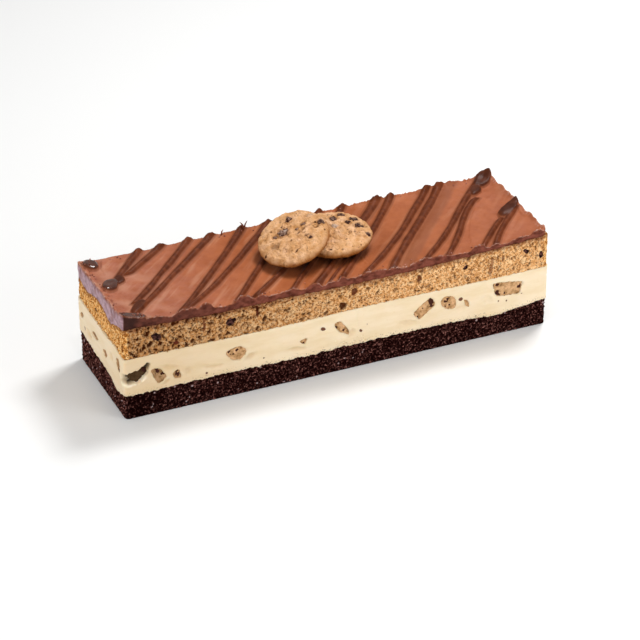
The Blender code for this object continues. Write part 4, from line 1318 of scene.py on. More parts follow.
@dataclass
class ChocolateTopping:
    """The poured milk chocolate, its drizzled ropes, pools and knife-raised edges."""

    length: float = 277.0
    width: float = 78.0
    shift: float = -1.0
    top: float = 62.6
    rise_back: float = 1.6
    rise_back_right: float = 1.6
    swell: float = 0.5
    swell_spacing: float = 25.0
    band: float = 0.16
    step: float = 0.54
    skirt_rows: int = 12
    cap_scales: tuple[float, ...] = (0.98, 0.9, 0.6, 0.3, 0.05)
    ropes: tuple[Rope, ...] = (
        Rope(-147.0, -67.5, 1.5, 0.6, start=0.27), Rope(-137.8, -52.5, -1.0, start=0.10),
        Rope(-170.0, -99.9, start=0.58), Rope(-183.4, -85.5, start=0.70), Rope(-104.1, -32.3, 1.2),
        Rope(-103.0, -14.5, 4.0, 1.0), Rope(-68.0, -1.1, 0.4), Rope(-58.0, 19.7, 7.7),
        Rope(-33.0, 35.5, 2.2), Rope(-17.0, 59.2, 1.0, radius=2.6),
        Rope(-9.2, 72.0, stop=0.5, radius=1.1, height=1.2), Rope(-1.0, 69.0, 1.5),
        Rope(14.5, 94.0, 4.0, 1.1), Rope(32.6, 102.8, 0.0, -0.4, radius=2.6),
        Rope(42.0, 110.5, radius=3.6, height=0.8, tone=0.4), Rope(54.2, 132.4, 1.2, 1.5),
        Rope(69.8, 150.6, -9.2, 3.1, stop=0.70), Rope(93.0, 192.5, -8.3, stop=0.34),
        Rope(102.1, 214.5, -17.0, stop=0.42),
    )
    pools: tuple[Pool, ...] = (
        Pool(-132.0, -36.6, 9.0, 5.4, 5, 3.4), Pool(-123.5, -23.5, 9.5, 3.6, 48, 2.3),
        Pool(-130.6, 4.5, 9.4, 4.7, 58, 3.2), Pool(-123.2, 10.3, 6.0, 3.6, 50, 2.2),
        Pool(-133.2, 31.5, 6.4, 5.0, 75, 3.2), Pool(131.0, 34.0, 9.0, 5.0, 35, 3.0),
        Pool(121.5, 25.5, 7.5, 3.6, 45), Pool(129.3, -4.3, 10.8, 4.8, 33, 3.0),
    )
    wet_before: float = 0.0
    rope_vary: float = 0.16
    rope_vary_spacing: float = 13.0
    pool_ragged: float = 0.10
    pool_ragged_spacing: float = 5.0
    lips: tuple[Lip, ...] = (
        Lip(-119, 14, 2.2), Lip(-99, 14, 2.8), Lip(-87.5, 8, 4.2), Lip(-75, 8, -0.5), Lip(-63.5, 9, 4.2),
        Lip(-52.5, 6, 2.0), Lip(-34.5, 8, 1.0), Lip(-25.5, 5, -1.0), Lip(-19, 6, 0.9), Lip(-12, 5, -1.7),
        Lip(0.5, 4, 1.8), Lip(22, 13, 1.7), Lip(42, 9, -0.9), Lip(58, 22, 2.2), Lip(91, 9, 3.1),
        Lip(103, 8, 0.9), Lip(121, 16, 2.3), Lip(131, 8, 3.8),
    )
    front_lip_reach: float = 2.6
    front_burr_reach: float = 0.6
    left_lip: float = 6.4
    left_lip_reach: float = 7.5
    right_lip: float = 4.0
    right_lip_reach: float = 4.0
    back_lip_reach: float = 2.6
    creases: tuple[Crease, ...] = (
        Crease(((-123, -29), (-115.6, -28.7), (-107, -28.3), (-100.5, -25.6), (-92, -22.3)), -0.35, 0.5),
        Crease(((-124.4, 35.7), (-127.1, 27.5), (-127.9, 19.5)), 0.7, 0.8),
        Crease(((90.7, -33), (93.7, -22.8), (99.3, -11.9), (105.3, -2.6), (112.7, 7.8), (120, 18),
            (127, 27)), 0.4, 0.8),
        Crease(((21.8, -19), (21, -24), (21.5, -27.3)), 0.4, 0.6),
        Crease(((136.5, -3.9), (134.7, -9.9), (134.6, -16.6)), 0.6, 0.8),
    )
    # Painted shadow round the cookies' feet: their middles and radii, then its strength.
    cookie_feet: tuple[tuple[float, float, float], ...] = ((11.0, -2.0, 22.0), (-19.5, -5.5, 20.5))
    cookie_stain: float = 0.42
    skirt_bulge: float = 0.35
    skirt_lump: float = 0.25
    skirt_inset: float = 0.1
    seed: int = 70

    def plan(self) -> tuple[Array, Array]:
        """A grid over the topping whose corner squares are pressed into quarter discs.

        In a corner square with a, b from 0 to 1, the point is a * sqrt(1 - b^2 / 2) and
        b * sqrt(1 - a^2 / 2) times the corner radius.

        Returns:
            x and y, each (rows, columns).
        """
        halves = np.array([self.width, self.length]) / 2
        sides = [np.linspace(-half, half, int(round(2 * half / self.step)) + 1) for half in halves]
        y, x = np.meshgrid(*sides, indexing="ij")
        b, a = (
            np.clip((np.abs(place) - half + CORNER_RADIUS) / CORNER_RADIUS, 0.0, 1.0)
            for place, half in zip((y, x), halves)
        )
        both = (a > 0) & (b > 0)
        x = x - np.where(both, np.sign(x) * CORNER_RADIUS * a * (1 - np.sqrt(1 - b**2 / 2)), 0.0)
        y = y - np.where(both, np.sign(y) * CORNER_RADIUS * b * (1 - np.sqrt(1 - a**2 / 2)), 0.0)
        return x + self.shift, y

    def edges(self, x: Array, y: Array) -> tuple[Array, ...]:
        """Distances inward from the front, back, left and right edge."""
        half, middle = self.length / 2, x - self.shift
        return self.width / 2 + y, self.width / 2 - y, middle + half, half - middle

    def drizzle(self, x: Array, y: Array) -> tuple[Array, Array]:
        """The ropes, each height * exp(-(distance / radius)^2.4), joined by the fourth-power mean.

        Args:
            x: places along the cake.
            y: places across it.

        Returns:
            Their height in mm, and how much of their colour shows.
        """
        front, back, _, _ = self.edges(x, y)
        vary = Grain(self.seed + 3).smooth(on_floor(x, y), self.rope_vary_spacing)
        cut = 0.3 + 0.7 * smooth_step(0.0, 7.0, front) + 0.3 * smooth_step(3.0, 0.8, back)
        power = np.zeros_like(x)
        tone = np.zeros_like(x)
        for rope in self.ropes:
            away = rope.distance(x, y) / (1.0 + self.rope_vary * vary)
            power += (rope.height * cut * np.exp(-(away**2.4))) ** 4
            tone = np.maximum(tone, rope.tone * smooth_step(2.1, 0.7, away))
        return power**0.25, tone

    def puddles(self, x: Array, y: Array) -> tuple[Array, Array, Array]:
        """The pools, each a dome rise * sqrt(1 - share^4).

        Args:
            x: places along the cake.
            y: places across it.

        Returns:
            Their height in mm, and how much of their gloss and of their colour shows.
        """
        height, gloss, tone = (np.zeros_like(x) for _ in range(3))
        ragged = self.pool_ragged * Grain(self.seed + 3).smooth(on_floor(x, y), self.pool_ragged_spacing)
        for pool in self.pools:
            share = pool.share(x, y) + ragged
            height = np.maximum(height, pool.rise * np.sqrt(np.clip(1.0 - share**4, 0.0, 1.0)))
            shine = (1.0 if pool.x < self.wet_before else 0.5) * smooth_step(1.6, 2.9, pool.rise)
            gloss = np.maximum(gloss, shine * smooth_step(1.0, 0.8, share))
            tone = np.maximum(tone, smooth_step(1.16, 0.84, share))
        return height, gloss, tone

    def lift(self, x: Array, y: Array, calm: Array, notch: Array) -> Array:
        """What the knife raised along the four edges; each lip falls off as exp(-distance / reach).

        Args:
            x: places along the cake.
            y: places across it.
            calm: 0 in the pools, whose rims stay smooth, to 1 outside.
            notch: fine raggedness of the front edge.

        Returns:
            The rise in mm.
        """
        flat = on_floor(x, y)
        grain = Grain(self.seed + 3)
        front, back, left, right = self.edges(x, y)
        ragged = 1.0 + 0.5 * calm * grain.rough(flat, 3.0)
        wavy = 1.0 + 0.5 * grain.smooth(flat + 40.0, 8.0)
        scallops = sum(lip.height * np.exp(-(np.abs(2 * (x - lip.x) / lip.wide) ** 4)) for lip in self.lips)
        rise = (scallops - 0.5 + 0.3 * ragged) * np.exp(-front / self.front_lip_reach)
        rise += (0.35 + 0.45 * notch) * np.exp(-front / self.front_burr_reach)
        rise += (0.3 + 2.0 * (x / CAKE_LENGTH + 0.5)) * ragged * np.exp(-back / self.back_lip_reach)
        left_lip = (self.left_lip - 2.8 * (y / self.width + 0.5)) * (0.75 + 0.25 * ragged)
        rise += left_lip * np.exp(-left / self.left_lip_reach)
        right_lip = self.right_lip * wavy * (0.85 + 0.15 * ragged)
        return rise + right_lip * np.exp(-right / self.right_lip_reach)

    def surface(self, x: Array, y: Array) -> tuple[Array, Marks]:
        """Height of the topping over the cake.

        The ground is nearly level, with long swells and fine bands along the ropes. Ropes and
        pools are joined by the fourth-power mean; the edges' lips and the creases are added.

        Args:
            x: places along the cake.
            y: places across it.

        Returns:
            Heights in mm and the values for the finish.
        """
        flat = on_floor(x, y)
        grain = Grain(self.seed + 3)
        bands = Grain(self.seed + 1).rough(on_floor((x - y) * 0.7071, (x + y) * 0.7071 / 9.0), 5.0)
        behind = y / self.width + 0.5
        z = self.top + self.rise_back * behind + self.rise_back_right * behind * (x / CAKE_LENGTH + 0.5)
        z += self.swell * Grain(self.seed + 2).smooth(flat, self.swell_spacing) + self.band * bands
        ropes, rope_tone = self.drizzle(x, y)
        pools, gloss, pool_tone = self.puddles(x, y)
        raised = (ropes**4 + pools**4) ** 0.25
        calm = 1.0 - smooth_step(0.3, 1.4, pools)
        notch = calm * Grain(self.seed + 4).rough(flat, 1.8, 2)
        z += raised + self.lift(x, y, calm, notch)
        z += sum(crease.relief(x, y) for crease in self.creases) * (1 - smooth_step(0.3, 1.0, raised))
        front, back, left, right = self.edges(x, y)
        rim = np.exp(-np.minimum(np.minimum(front, back), np.minimum(left, right)) / 0.8)
        # Painted highlight along the front, left and right rims, broken up by noise.
        burr = np.exp(-np.minimum(np.minimum(front, left), 0.6 * right) / 0.6)
        burr *= smooth_step(-0.1, 0.5, notch) * smooth_step(-0.35, 0.1, grain.smooth(flat + 90.0, 9.0))
        tone = np.maximum(rope_tone, pool_tone)
        gloss = np.maximum(gloss, 0.2 * smooth_step(0.8, 2.0, ropes))
        patch = smooth_step(-85.0, -125.0, x) * smooth_step(-0.3, 0.6, grain.smooth(flat + 70.0, 12.0))
        streaks = smooth_step(0.0, 0.8, bands) * (0.15 + 0.35 * smooth_step(20.0, -120.0, x))
        marks = {
            "drizzle": tone,
            "gloss": np.maximum(gloss, 0.8 * rim),
            "cut": np.zeros_like(x),
            # Painted reflection, paler on the ground near the left end than near the right.
            "bloom": (1 - tone) * np.where(x < 0, 0.14, 0.07) * smooth_step(20.0, 130.0, np.abs(x)),
            "sheen": np.maximum(streaks, 0.55 * patch),
            # The pools' darker chocolate, and painted shadow round the cookies' feet.
            "dark": np.maximum(0.5 * smooth_step(0.8, 2.6, pools), self.under_cookies(x, y)),
            "burr": 0.8 * burr,
        }
        return z, marks

    def under_cookies(self, x: Array, y: Array) -> Array:
        """Painted shadow on the topping round each cookie's foot, to 1.12 of its radius."""
        shares = [np.hypot(x - foot_x, y - foot_y) / radius for foot_x, foot_y, radius in self.cookie_feet]
        return self.cookie_stain * smooth_step(1.12, 0.92, np.min(shares, axis=0))

    def skirt(self, edge: Array, share: Array) -> Array:
        """The cut sides: the edge let down to the seam, bulging by a sine and by lumps.

        Args:
            edge: places (n, 3) round the top, counter-clockwise.
            share: how far down each row lies, (rows, 1).

        Returns:
            Places (rows, n, 3).
        """
        skirt = np.repeat(edge[None], len(share), axis=0)
        skirt[..., 2] += (GOLDEN_TOPPING.height(edge[:, 0], edge[:, 1]) - edge[:, 2]) * share
        way = np.roll(edge, -1, axis=0) - np.roll(edge, 1, axis=0)
        out = unit(on_floor(way[:, 1], -way[:, 0]))
        lumps = Grain(self.seed + 5).rough(skirt * np.array([1.0, 1.0, 0.7]), 5.0)
        bulge = self.skirt_bulge * np.sin(np.pi * np.minimum(share * 1.3, 1.0))
        return skirt + (self.skirt_lump * lumps + bulge - self.skirt_inset)[..., None] * out

    def build(self) -> Piece:
        """Joins the poured top, the cut skirt and the hidden underside into one closed piece."""
        x, y = self.plan()
        z, marks = self.surface(x, y)
        index = np.arange(x.size).reshape(x.shape)
        quads = np.stack([index[:-1, :-1], index[:-1, 1:], index[1:, 1:], index[1:, :-1]], axis=-1)
        rim = np.concatenate([index[0], index[1:, -1], index[-1, -2::-1], index[-2:0:-1, 0]])
        top = np.stack([x, y, z], axis=-1).reshape(-1, 3)
        share = np.linspace(0.0, 1.0, self.skirt_rows + 1)[1:, None]
        scales = np.array(self.cap_scales)[:, None, None]
        underside = GOLDEN_TOPPING.carry(scales * top[rim, :2])
        hidden = np.concatenate([self.skirt(top[rim], share), underside]).reshape(-1, 3)
        rings = np.concatenate([rim[None], len(top) + np.arange(len(hidden)).reshape(-1, len(rim))])
        beside = np.roll(rings, -1, axis=1)
        side_quads = np.stack([rings[1:], beside[1:], beside[:-1], rings[:-1]], axis=-1)
        pole = np.full(len(rim), len(top) + len(hidden))
        triangles = np.stack([beside[-1], rings[-1], pole], axis=-1)
        middle = GOLDEN_TOPPING.carry(np.zeros((1, 2))) + [self.shift, 0.0, 0.0]
        worn = self.side_marks(hidden, len(rim), share)
        values = {
            mark: np.concatenate([marks[mark].ravel(), worn[mark], worn[mark][-1:]]) for mark in marks
        }
        piece = put_mesh(
            "chocolate_topping_drizzled",
            np.concatenate([top, hidden, middle]),
            (np.concatenate([quads.reshape(-1, 4), side_quads.reshape(-1, 4)]), triangles),
            values,
            MilkChocolate().material(),
        )
        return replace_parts(piece, "chocolate_topping")

    def side_marks(self, points: Array, around: int, share: Array) -> Marks:
        """Values of the cut sides: red-brown all round, with a pale painted reflection at the left end and
        painted shade towards the front's left corner.

        Args:
            points: skirt and underside places, row by row.
            around: corners in each row.
            share: way down the skirt for each of its rows.

        Returns:
            The values, one for each point.
        """
        down = np.ones(len(points))
        down[: len(share) * around] = np.repeat(share[:, 0], around)
        cut = smooth_step(0.02, 0.16, down)
        left = smooth_step(-138.2, -138.9, points[:, 0])
        front = smooth_step(-37.5, -38.5, points[:, 1])
        # Painted shade: the cut face under the overhanging corner pool, and the front skirt darker towards
        # the left.
        near_corner = smooth_step(-121.0, -131.0, points[:, 0] + 4.0 * down)
        shaded = 0.45 * smooth_step(-40.0, -125.0, points[:, 0])
        smudge = smooth_step(0.15, 0.6, Grain(self.seed + 6).rough(points, 6.0))
        ragged = smooth_step(-0.1, 0.4, Grain(self.seed + 7).rough(points, 2.2, 2))
        return {
            "drizzle": 0.84 * (1 - cut),
            "gloss": 0.45 * (1 - cut) + 0.2,
            "cut": cut,
            # Painted reflection on the left cut side, broken by smudges.
            "bloom": left * smooth_step(0.05, 0.25, down) * (0.85 - 0.4 * smudge),
            "dark": np.maximum(0.85 * near_corner, shaded) * front * cut * (1 - left),
            "sheen": np.zeros_like(down),
            # Painted highlight along the skirt's top edge.
            "burr": 0.8 * smooth_step(0.16, 0.0, down) * ragged,
        }


@dataclass(frozen=True)
class CookieSpot:
    """A chip, bump, dent or fleck on a cookie, in mm from its middle; a chip lies in a groove."""

    x: float
    y: float
    wide: float
    tall: float
    turn: float = 0.0
    rise: float = 0.0
    chip: float = 0.0
    crack: float = 0.0
    groove: float = 0.0
    chip_growth: float = 1.2

    def share(self, x: Array, y: Array) -> Array:
        """Distance from the middle of the spot's oval, 1 at its edge."""
        u, v = turned(x - self.x, y - self.y, -self.turn)
        return np.hypot(2 * u / self.wide, 2 * v / self.tall) / (self.chip_growth if self.chip > 0 else 1.0)


@dataclass
class Cookie:
    """A baked chocolate chip cookie: a disc with a full rim, leaning on the topping."""

    name: str
    node: str
    middle: tuple[float, float, float]
    lean: tuple[float, float]
    radius: float
    thickness: float
    seed: int
    spots: tuple[tuple[float, ...], ...]
    around: int = 300
    top_rings: int = 76
    low_rings: int = 40
    rim_fullness: float = 0.60
    crown_flatness: float = 0.80
    lump: float = 0.55
    lump_spacing: float = 7.0
    fine_lump: float = 0.60
    fine_spacing: float = 2.6
    fissure_depth: float = 0.6
    fissure_spacing: float = 4.6
    pit_depth: float = 0.25
    pit_spacing: float = 2.3
    ragged: float = 0.34

    def frame(self) -> Array:
        """Columns: across, away and up, from the two sideways parts of the cookie's up."""
        nx, ny = self.lean
        up = np.array([nx, ny, np.sqrt(1 - nx * nx - ny * ny)])
        across = unit(np.cross([0.0, 1.0, 0.0], up))
        return np.column_stack([across, np.cross(up, across), up])

    def disc(self) -> tuple[Array, Array]:
        """The bare disc: r = R cos(t)^0.6 and z = T/2 sin(t)^0.8, with rings crowded at the rim.

        Returns:
            Rings (rows, around, 3), and outward ways: along the ring crossed with up the rows.
        """
        low, high = np.linspace(0.012, 1.0, self.low_rings), np.linspace(1.0, 0.008, self.top_rings)[1:]
        sign = np.concatenate([-np.ones(len(low)), np.ones(len(high))])
        out = np.sin(np.pi / 2 * np.concatenate([low, high]))
        tilt = np.arccos(out ** (1 / self.rim_fullness))
        z = sign * np.sin(tilt) ** self.crown_flatness * self.thickness / 2
        angle = circle(self.around)
        r = self.radius * out[:, None]
        rings = np.stack([r * np.cos(angle), r * np.sin(angle), z[:, None] + 0 * r * angle], axis=-1)
        along = np.roll(rings, -1, axis=1) - np.roll(rings, 1, axis=1)
        return rings, unit(np.cross(along, np.gradient(rings, axis=0)))

    def build(self) -> Piece:
        """Roughens the disc, sets in its chips, cracks and dents, and leans it."""
        rings, normal = self.disc()
        grain = Grain(self.seed)
        x, y, z = np.moveaxis(rings, -1, 0)
        upper = smooth_step(-0.5, 1.2, z)
        push = self.lump * grain.rough(rings, self.lump_spacing, 2)
        push += self.fine_lump * grain.rough(rings, self.fine_spacing)
        push *= 0.45 + 0.55 * smooth_step(0.8, 3.2, z)
        veins = np.abs(grain.rough(rings * np.array([1.0, 1.0, 0.4]), self.fissure_spacing, 2))
        crazed = smooth_step(0.05, 0.4, grain.smooth(rings + 20.0, 7.0))
        fissure = smooth_step(0.12, 0.0, veins) * upper * crazed
        push -= self.fissure_depth * fissure
        chip, milky, halo = (np.zeros_like(x) for _ in range(3))
        # Fissures are painted dark: painted shade in the cracks.
        crack = 0.75 * fissure
        edge = self.ragged * grain.smooth(rings + 50.0, 1.5)
        for spot in (CookieSpot(*row) for row in self.spots):
            share = spot.share(x, y) + edge
            inside = smooth_step(1.1, 0.7, share) * upper
            push += spot.rise * smooth_step(1.2, 0.2, share) * upper
            push -= spot.groove * bell(share, 1.15, 0.2) * upper
            chip = np.maximum(chip, spot.chip * inside)
            if spot.chip > 0:
                milky = np.maximum(milky, (1 - spot.chip) * inside)
            # The groove round a chip is painted dark as shade.
            groove = 0.5 * spot.groove * bell(share, 1.12, 0.14) * upper
            crack = np.maximum(crack, np.maximum(spot.crack * inside, groove))
            # Painted shade in a ring round each spot.
            halo = np.maximum(halo, 0.25 * bell(share, 1.2, 0.3) * upper)
        near, number = grain.cells(rings, self.pit_spacing)
        pits = smooth_step(0.20, 0.10, near) * (number > 0.72) * upper
        push -= self.pit_depth * pits
        # Pits are painted dark as shade.
        crack = np.maximum(crack, 0.6 * pits) * (1 - chip)
        points = (rings + push[..., None] * normal) @ self.frame().T + np.array(self.middle)
        # Baked browning towards the rim's foot, which also paints shade on the lower rim, and painted shade
        # round the spots.
        brown = np.maximum(halo, 0.95 * smooth_step(3.4, -0.8, z + 0.8 * grain.smooth(rings, 4.0)))
        marks = {"chip": chip, "milky": milky, "crack": crack, "brown": brown}
        piece = skin(self.name, points, marks, BakedCookie().material())
        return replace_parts(piece, self.node)


# The spots are rows of x, y, wide, tall, turn and rise, and then how much of chip, crack and groove.
LOWER_COOKIE = Cookie(
    "cookie_lower_baked", "cookie_lower", (11.3, -1.0, 71.56), (-0.039, -0.068), 23.5, 9.6, 91,
    (
        (4.6, 10.9, 4.2, 3.6, 20, 0.5, 1, 0, 0.4), (11.0, 13.0, 4.6, 2.4, -20, 0.4, 1, 0, 0.4),
        (11.2, 3.6, 2.4, 4.4, 10, 0.4, 1, 0, 0.5), (16.1, 5.9, 4.0, 4.4, 30, 0.6, 1, 0, 0.5),
        (15.7, -2.0, 4.4, 2.8, 10, 0.5, 1, 0, 0.4), (18.4, -2.9, 1.8, 3.0, 0, 0.3, 1, 0, 0.3),
        (18.0, -11.4, 2.4, 3.2, 20, 0.4, 1, 0, 0.4), (14.0, -10.3, 6.0, 5.0, 0, 0.7, 0, 0, 0.2),
        (1.5, 1.8, 5.0, 3.4, 0, 0.4, 0.35), (-2.2, -8.2, 7.0, 6.0, 0, 0.6),
        (1.4, -4.6, 1.0, 1.0, 0, 0, 0, 1), (7.3, -4.9, 1.6, 0.8, 20, 0, 0, 1),
        (2.5, -13.9, 1.4, 0.9, 0, 0, 0, 1), (-9.8, -18.6, 1.3, 1.0, 0, 0, 0, 1),
        (-3.2, -20.9, 1.2, 1.0, 0, 0, 0, 0.9), (-10.2, -11.9, 1.4, 1.0, 0, 0, 0, 1),
        (9.2, -20.2, 1.2, 1.2, 0, 0, 0, 0.9),
    ),
)
UPPER_COOKIE = Cookie(
    "cookie_upper_baked", "cookie_upper", (-15.9, -3.4, 76.12), (-0.359, -0.160), 22.1, 8.9, 92,
    (
        (3.9, 12.3, 4.2, 3.0, 30, 1.0, 0.9, 0, 0.3), (-3.6, 5.0, 6.2, 4.4, 10, 0.9, 0.8, 0, 0.5),
        (16.0, 6.7, 6.0, 3.4, 0, 0.8, 0.25), (19.0, -2.0, 3.4, 4.0, 0, 0.5, 0.9, 0, 0.4),
        (9.2, 2.4, 3.2, 2.2, 20, 0.5, 0.8, 0, 0.4), (15.9, -0.5, 1.8, 1.6, 0, -0.8, 0, 1),
        (4.3, 1.4, 2.2, 1.6, 0, 0.3, 0.8, 0, 0.3), (7.1, -1.6, 3.2, 0.9, 25, -0.6, 0, 1),
        (3.4, -1.9, 2.6, 0.8, 20, -0.5, 0, 1), (8.0, -9.9, 2.2, 2.0, 0, 0.2, 1, 0, 0.4),
        (-9.3, 5.1, 2.4, 2.2, 0, 0.4, 0.8, 0, 0.3), (-9.2, 10.0, 1.2, 1.4, 0, 0, 0, 1),
        (-2.0, 9.5, 1.8, 1.0, 0, 0, 0, 1), (2.5, 6.3, 1.2, 1.0, 0, 0, 0, 1),
        (-2.7, -4.8, 1.2, 1.2, 0, 0, 0, 0.9), (18.0, -8.9, 1.2, 1.2, 0, 0, 0, 1),
        (-12.7, -2.0, 7.5, 4.4, -10, -1.3, 0, 0.35), (-3.7, -14.1, 4.6, 1.0, 15, -0.7, 0, 1),
        (-20.6, -3.4, 1.8, 2.4, 0, -0.6, 0, 1), (10.0, -0.8, 13.0, 1.4, 6, -0.6, 0, 0.3),
        (-4.0, -8.5, 9.0, 6.0, 0, 0.4), (7.0, -5.0, 8.0, 5.0, 0, 0.5),
    ),
)


@dataclass(frozen=True)
class CrumbHeap:
    """Many small uneven lumps of one kind, joined into one piece."""

    name: str
    slot: str
    radii: tuple[float, float]
    seed: int
    finish: LooseCrumb

    @staticmethod
    def lump() -> tuple[Array, Array]:
        """A small round lump: three rings of six between two poles.

        Returns:
            Places (20, 3) and its 36 triangles.
        """
        polar = np.radians([140.0, 90.0, 40.0])[:, None]
        angle = circle(6)[None]
        flat = np.sin(polar) * np.cos(angle), np.sin(polar) * np.sin(angle)
        rings = np.stack([*flat, np.cos(polar) + 0 * angle], axis=-1).reshape(-1, 3)
        quads, triangles = ring_faces(3, 6)
        points = np.concatenate([rings, [[0, 0, -1.0], [0, 0, 1.0]]])
        return points, np.concatenate([quads[:, [0, 1, 2]], quads[:, [0, 2, 3]], triangles])

    def build(self, places: Array, sizes: np.random.Generator) -> Piece:
        """Puts a turned, stretched and dented lump at each place.

        Args:
            places: their middles in mm, (n, 3).
            sizes: random source of their radii.

        Returns:
            The piece.
        """
        count = len(places)
        radii = sizes.uniform(*self.radii, count)
        draw = np.random.default_rng(self.seed)
        template, faces = self.lump()
        turns = np.linalg.qr(draw.normal(size=(count, 3, 3)))[0]
        turns *= np.sign(np.linalg.det(turns))[:, None, None]
        stretch = draw.uniform(0.6, 1.35, size=(count, 1, 3))
        uneven = draw.uniform(0.75, 1.2, size=(count, len(template), 1))
        shapes = template[None] * stretch * uneven * radii[:, None, None]
        points = np.einsum("nij,nkj->nki", turns, shapes) + places[:, None]
        index = faces[None] + (np.arange(count) * len(template))[:, None, None]
        material = self.finish.material()
        piece = put_mesh(self.name, points.reshape(-1, 3), (index.reshape(-1, 3),), {}, material)
        return piece


@dataclass
class Crumbs:
    """Loose crumbs and shreds along the seams and on the topping's edges."""

    topping: ChocolateTopping
    seed: int = 7
    dark_count: int = 260
    golden_count: int = 260
    rim_count: int = 110
    cream_count: int = 130
    inset: float = -0.4
    dark: CrumbHeap = CrumbHeap(
        "loose_dark_crumbs", "chocolate_sponge", (0.2, 0.5), 8,
        LooseCrumb("loose_chocolate_sponge_crumb", "#1E0D0B", "#4A2C28"),
    )
    golden: CrumbHeap = CrumbHeap(
        "loose_golden_crumbs", "golden_sponge", (0.25, 0.55), 9,
        LooseCrumb("loose_golden_sponge_crumb", "#B07C3C", "#E4BC80"),
    )
    cream: CrumbHeap = CrumbHeap(
        "loose_cream_crumbs", "vanilla_cream", (0.2, 0.42), 11,
        LooseCrumb("torn_vanilla_cream", "#DCBE8C", "#FCEFD0"),
    )
    chocolate: CrumbHeap = CrumbHeap(
        "loose_chocolate_crumbs", "chocolate_topping", (0.25, 0.65), 10,
        LooseCrumb("loose_milk_chocolate_crumb", "#70382A", "#B87660"),
    )

    def on_sides(
        self, draw: np.random.Generator, count: int, level: Level, rise: tuple[float, float]
    ) -> Array:
        """Places on the cake's sides near a seam.

        Args:
            draw: random source.
            count: number of places.
            level: the seam.
            rise: mean and spread of the height above it.

        Returns:
            (count, 3) places in mm.
        """
        ring, ways = outline(CAKE_LENGTH, CAKE_WIDTH, CORNER_RADIUS, 0.5)
        pick = draw.integers(0, len(ring), count)
        z = level.height(*ring[pick].T) + rise[0] + rise[1] * np.abs(draw.normal(size=count))
        return np.column_stack([ring[pick] + ways[pick] * self.inset, z])

    def torn_cream(self, draw: np.random.Generator) -> Array:
        """Places of the cream shreds: a cluster in the middle of the front, the rest along the foot.

        Args:
            draw: random source.

        Returns:
            (cream_count, 3) places in mm.
        """
        count = self.cream_count
        clustered = draw.uniform(size=count) < 0.55
        x = np.where(clustered, draw.normal(6.0, 5.5, count), draw.uniform(-134, 134, count))
        y = np.full(count, -CAKE_WIDTH / 2)
        lift = np.where(clustered, 1.0 + 1.8 * np.abs(draw.normal(size=count)), 0.2)
        return np.column_stack([x, y, SPONGE_CREAM.height(x, y) + lift])

    def on_rim(self, draw: np.random.Generator) -> Array:
        """Places on the topping near its left, front and back edges, thickest at the left.

        Args:
            draw: random source.

        Returns:
            (rim_count, 3) places in mm.
        """
        inward = 0.6 + 1.6 * np.abs(draw.normal(size=self.rim_count))
        edge = draw.choice(3, size=self.rim_count, p=(0.45, 0.3, 0.25))
        along = draw.uniform(size=self.rim_count)
        x = np.where(edge == 0, -138.5 + inward, -136.0 + 262.0 * along**1.5)
        y = np.select([edge == 0, edge == 1], [-37.0 + 74.0 * along, -38.0 + inward], 38.0 - inward)
        return np.column_stack([x, y, self.topping.surface(x, y)[0] + 0.15])

    def build(self) -> list[Piece]:
        """Makes the dark, the golden, the cream and the chocolate crumbs, one piece each."""
        draw = np.random.default_rng(self.seed)
        seams = (
            (self.dark, self.dark_count, SPONGE_CREAM, (-0.3, 0.35)),
            (self.golden, self.golden_count, CREAM_GOLDEN, (-0.4, 0.5)),
        )
        made = [heap.build(self.on_sides(draw, *seam), draw) for heap, *seam in seams]
        made.append(self.cream.build(self.torn_cream(draw), draw))
        made.append(self.chocolate.build(self.on_rim(draw), draw))
        return made


@dataclass(frozen=True)
class Burr:
    """A thin curl of chocolate that stands up from an edge, tapering to its tip."""

    path: tuple[tuple[float, float, float], ...]
    radius: float = 0.6
    around: int = 10

    def rings(self) -> Array:
        """Circles of radius * (1 - 0.8 s^2) upright along the curved path through its places.

        Returns:
            Rings (rows, around, 3) in mm, from foot to tip.
        """
        share = np.linspace(0.0, 1.0, 6 * len(self.path))
        knots = np.linspace(0.0, 1.0, len(self.path))
        middle = np.stack([np.interp(share, knots, axis) for axis in np.array(self.path).T], axis=-1)
        middle[1:-1] = (middle[:-2] + 2 * middle[1:-1] + middle[2:]) / 4
        along = unit(np.gradient(middle, axis=0))
        side = unit(np.cross(along, [0.0, 1.0, 0.2]))
        angle = circle(self.around)[None, :, None]
        wide = (self.radius * (1 - 0.8 * share**2))[:, None, None]
        ring = np.cos(angle) * side[:, None] + np.sin(angle) * np.cross(along, side)[:, None]
        return middle[:, None] + wide * ring


@dataclass
class Burrs:
    """The curls that the knife and the drizzle left on the topping's edges."""

    curls: tuple[Burr, ...] = (
        Burr(((-31.5, 37.6, 66.6), (-32.2, 38.0, 69.2), (-33.8, 38.2, 71.2))),
        Burr(((-31.2, 37.6, 67.4), (-30.2, 38.0, 69.6), (-28.9, 38.2, 71.3)), 0.5),
        Burr(((-46.5, 37.4, 65.4), (-46.0, 37.9, 67.4), (-45.0, 38.2, 68.6)), 0.5),
    )
    finish: LooseCrumb = LooseCrumb("curled_milk_chocolate", "#6A3420", "#8E4E32")

    def build(self) -> Piece:
        """Joins the curls into one piece of milk chocolate."""
        points, quads, triangles, first = [], [], [], 0
        for curl in self.curls:
            rings = curl.rings()
            sides, ends = ring_faces(*rings.shape[:2])
            points.append(with_poles(rings))
            quads.append(sides + first)
            triangles.append(ends + first)
            first += len(points[-1])
        faces = (np.concatenate(quads), np.concatenate(triangles))
        piece = put_mesh("knife_burrs", np.concatenate(points), faces, {}, self.finish.material())
        return piece


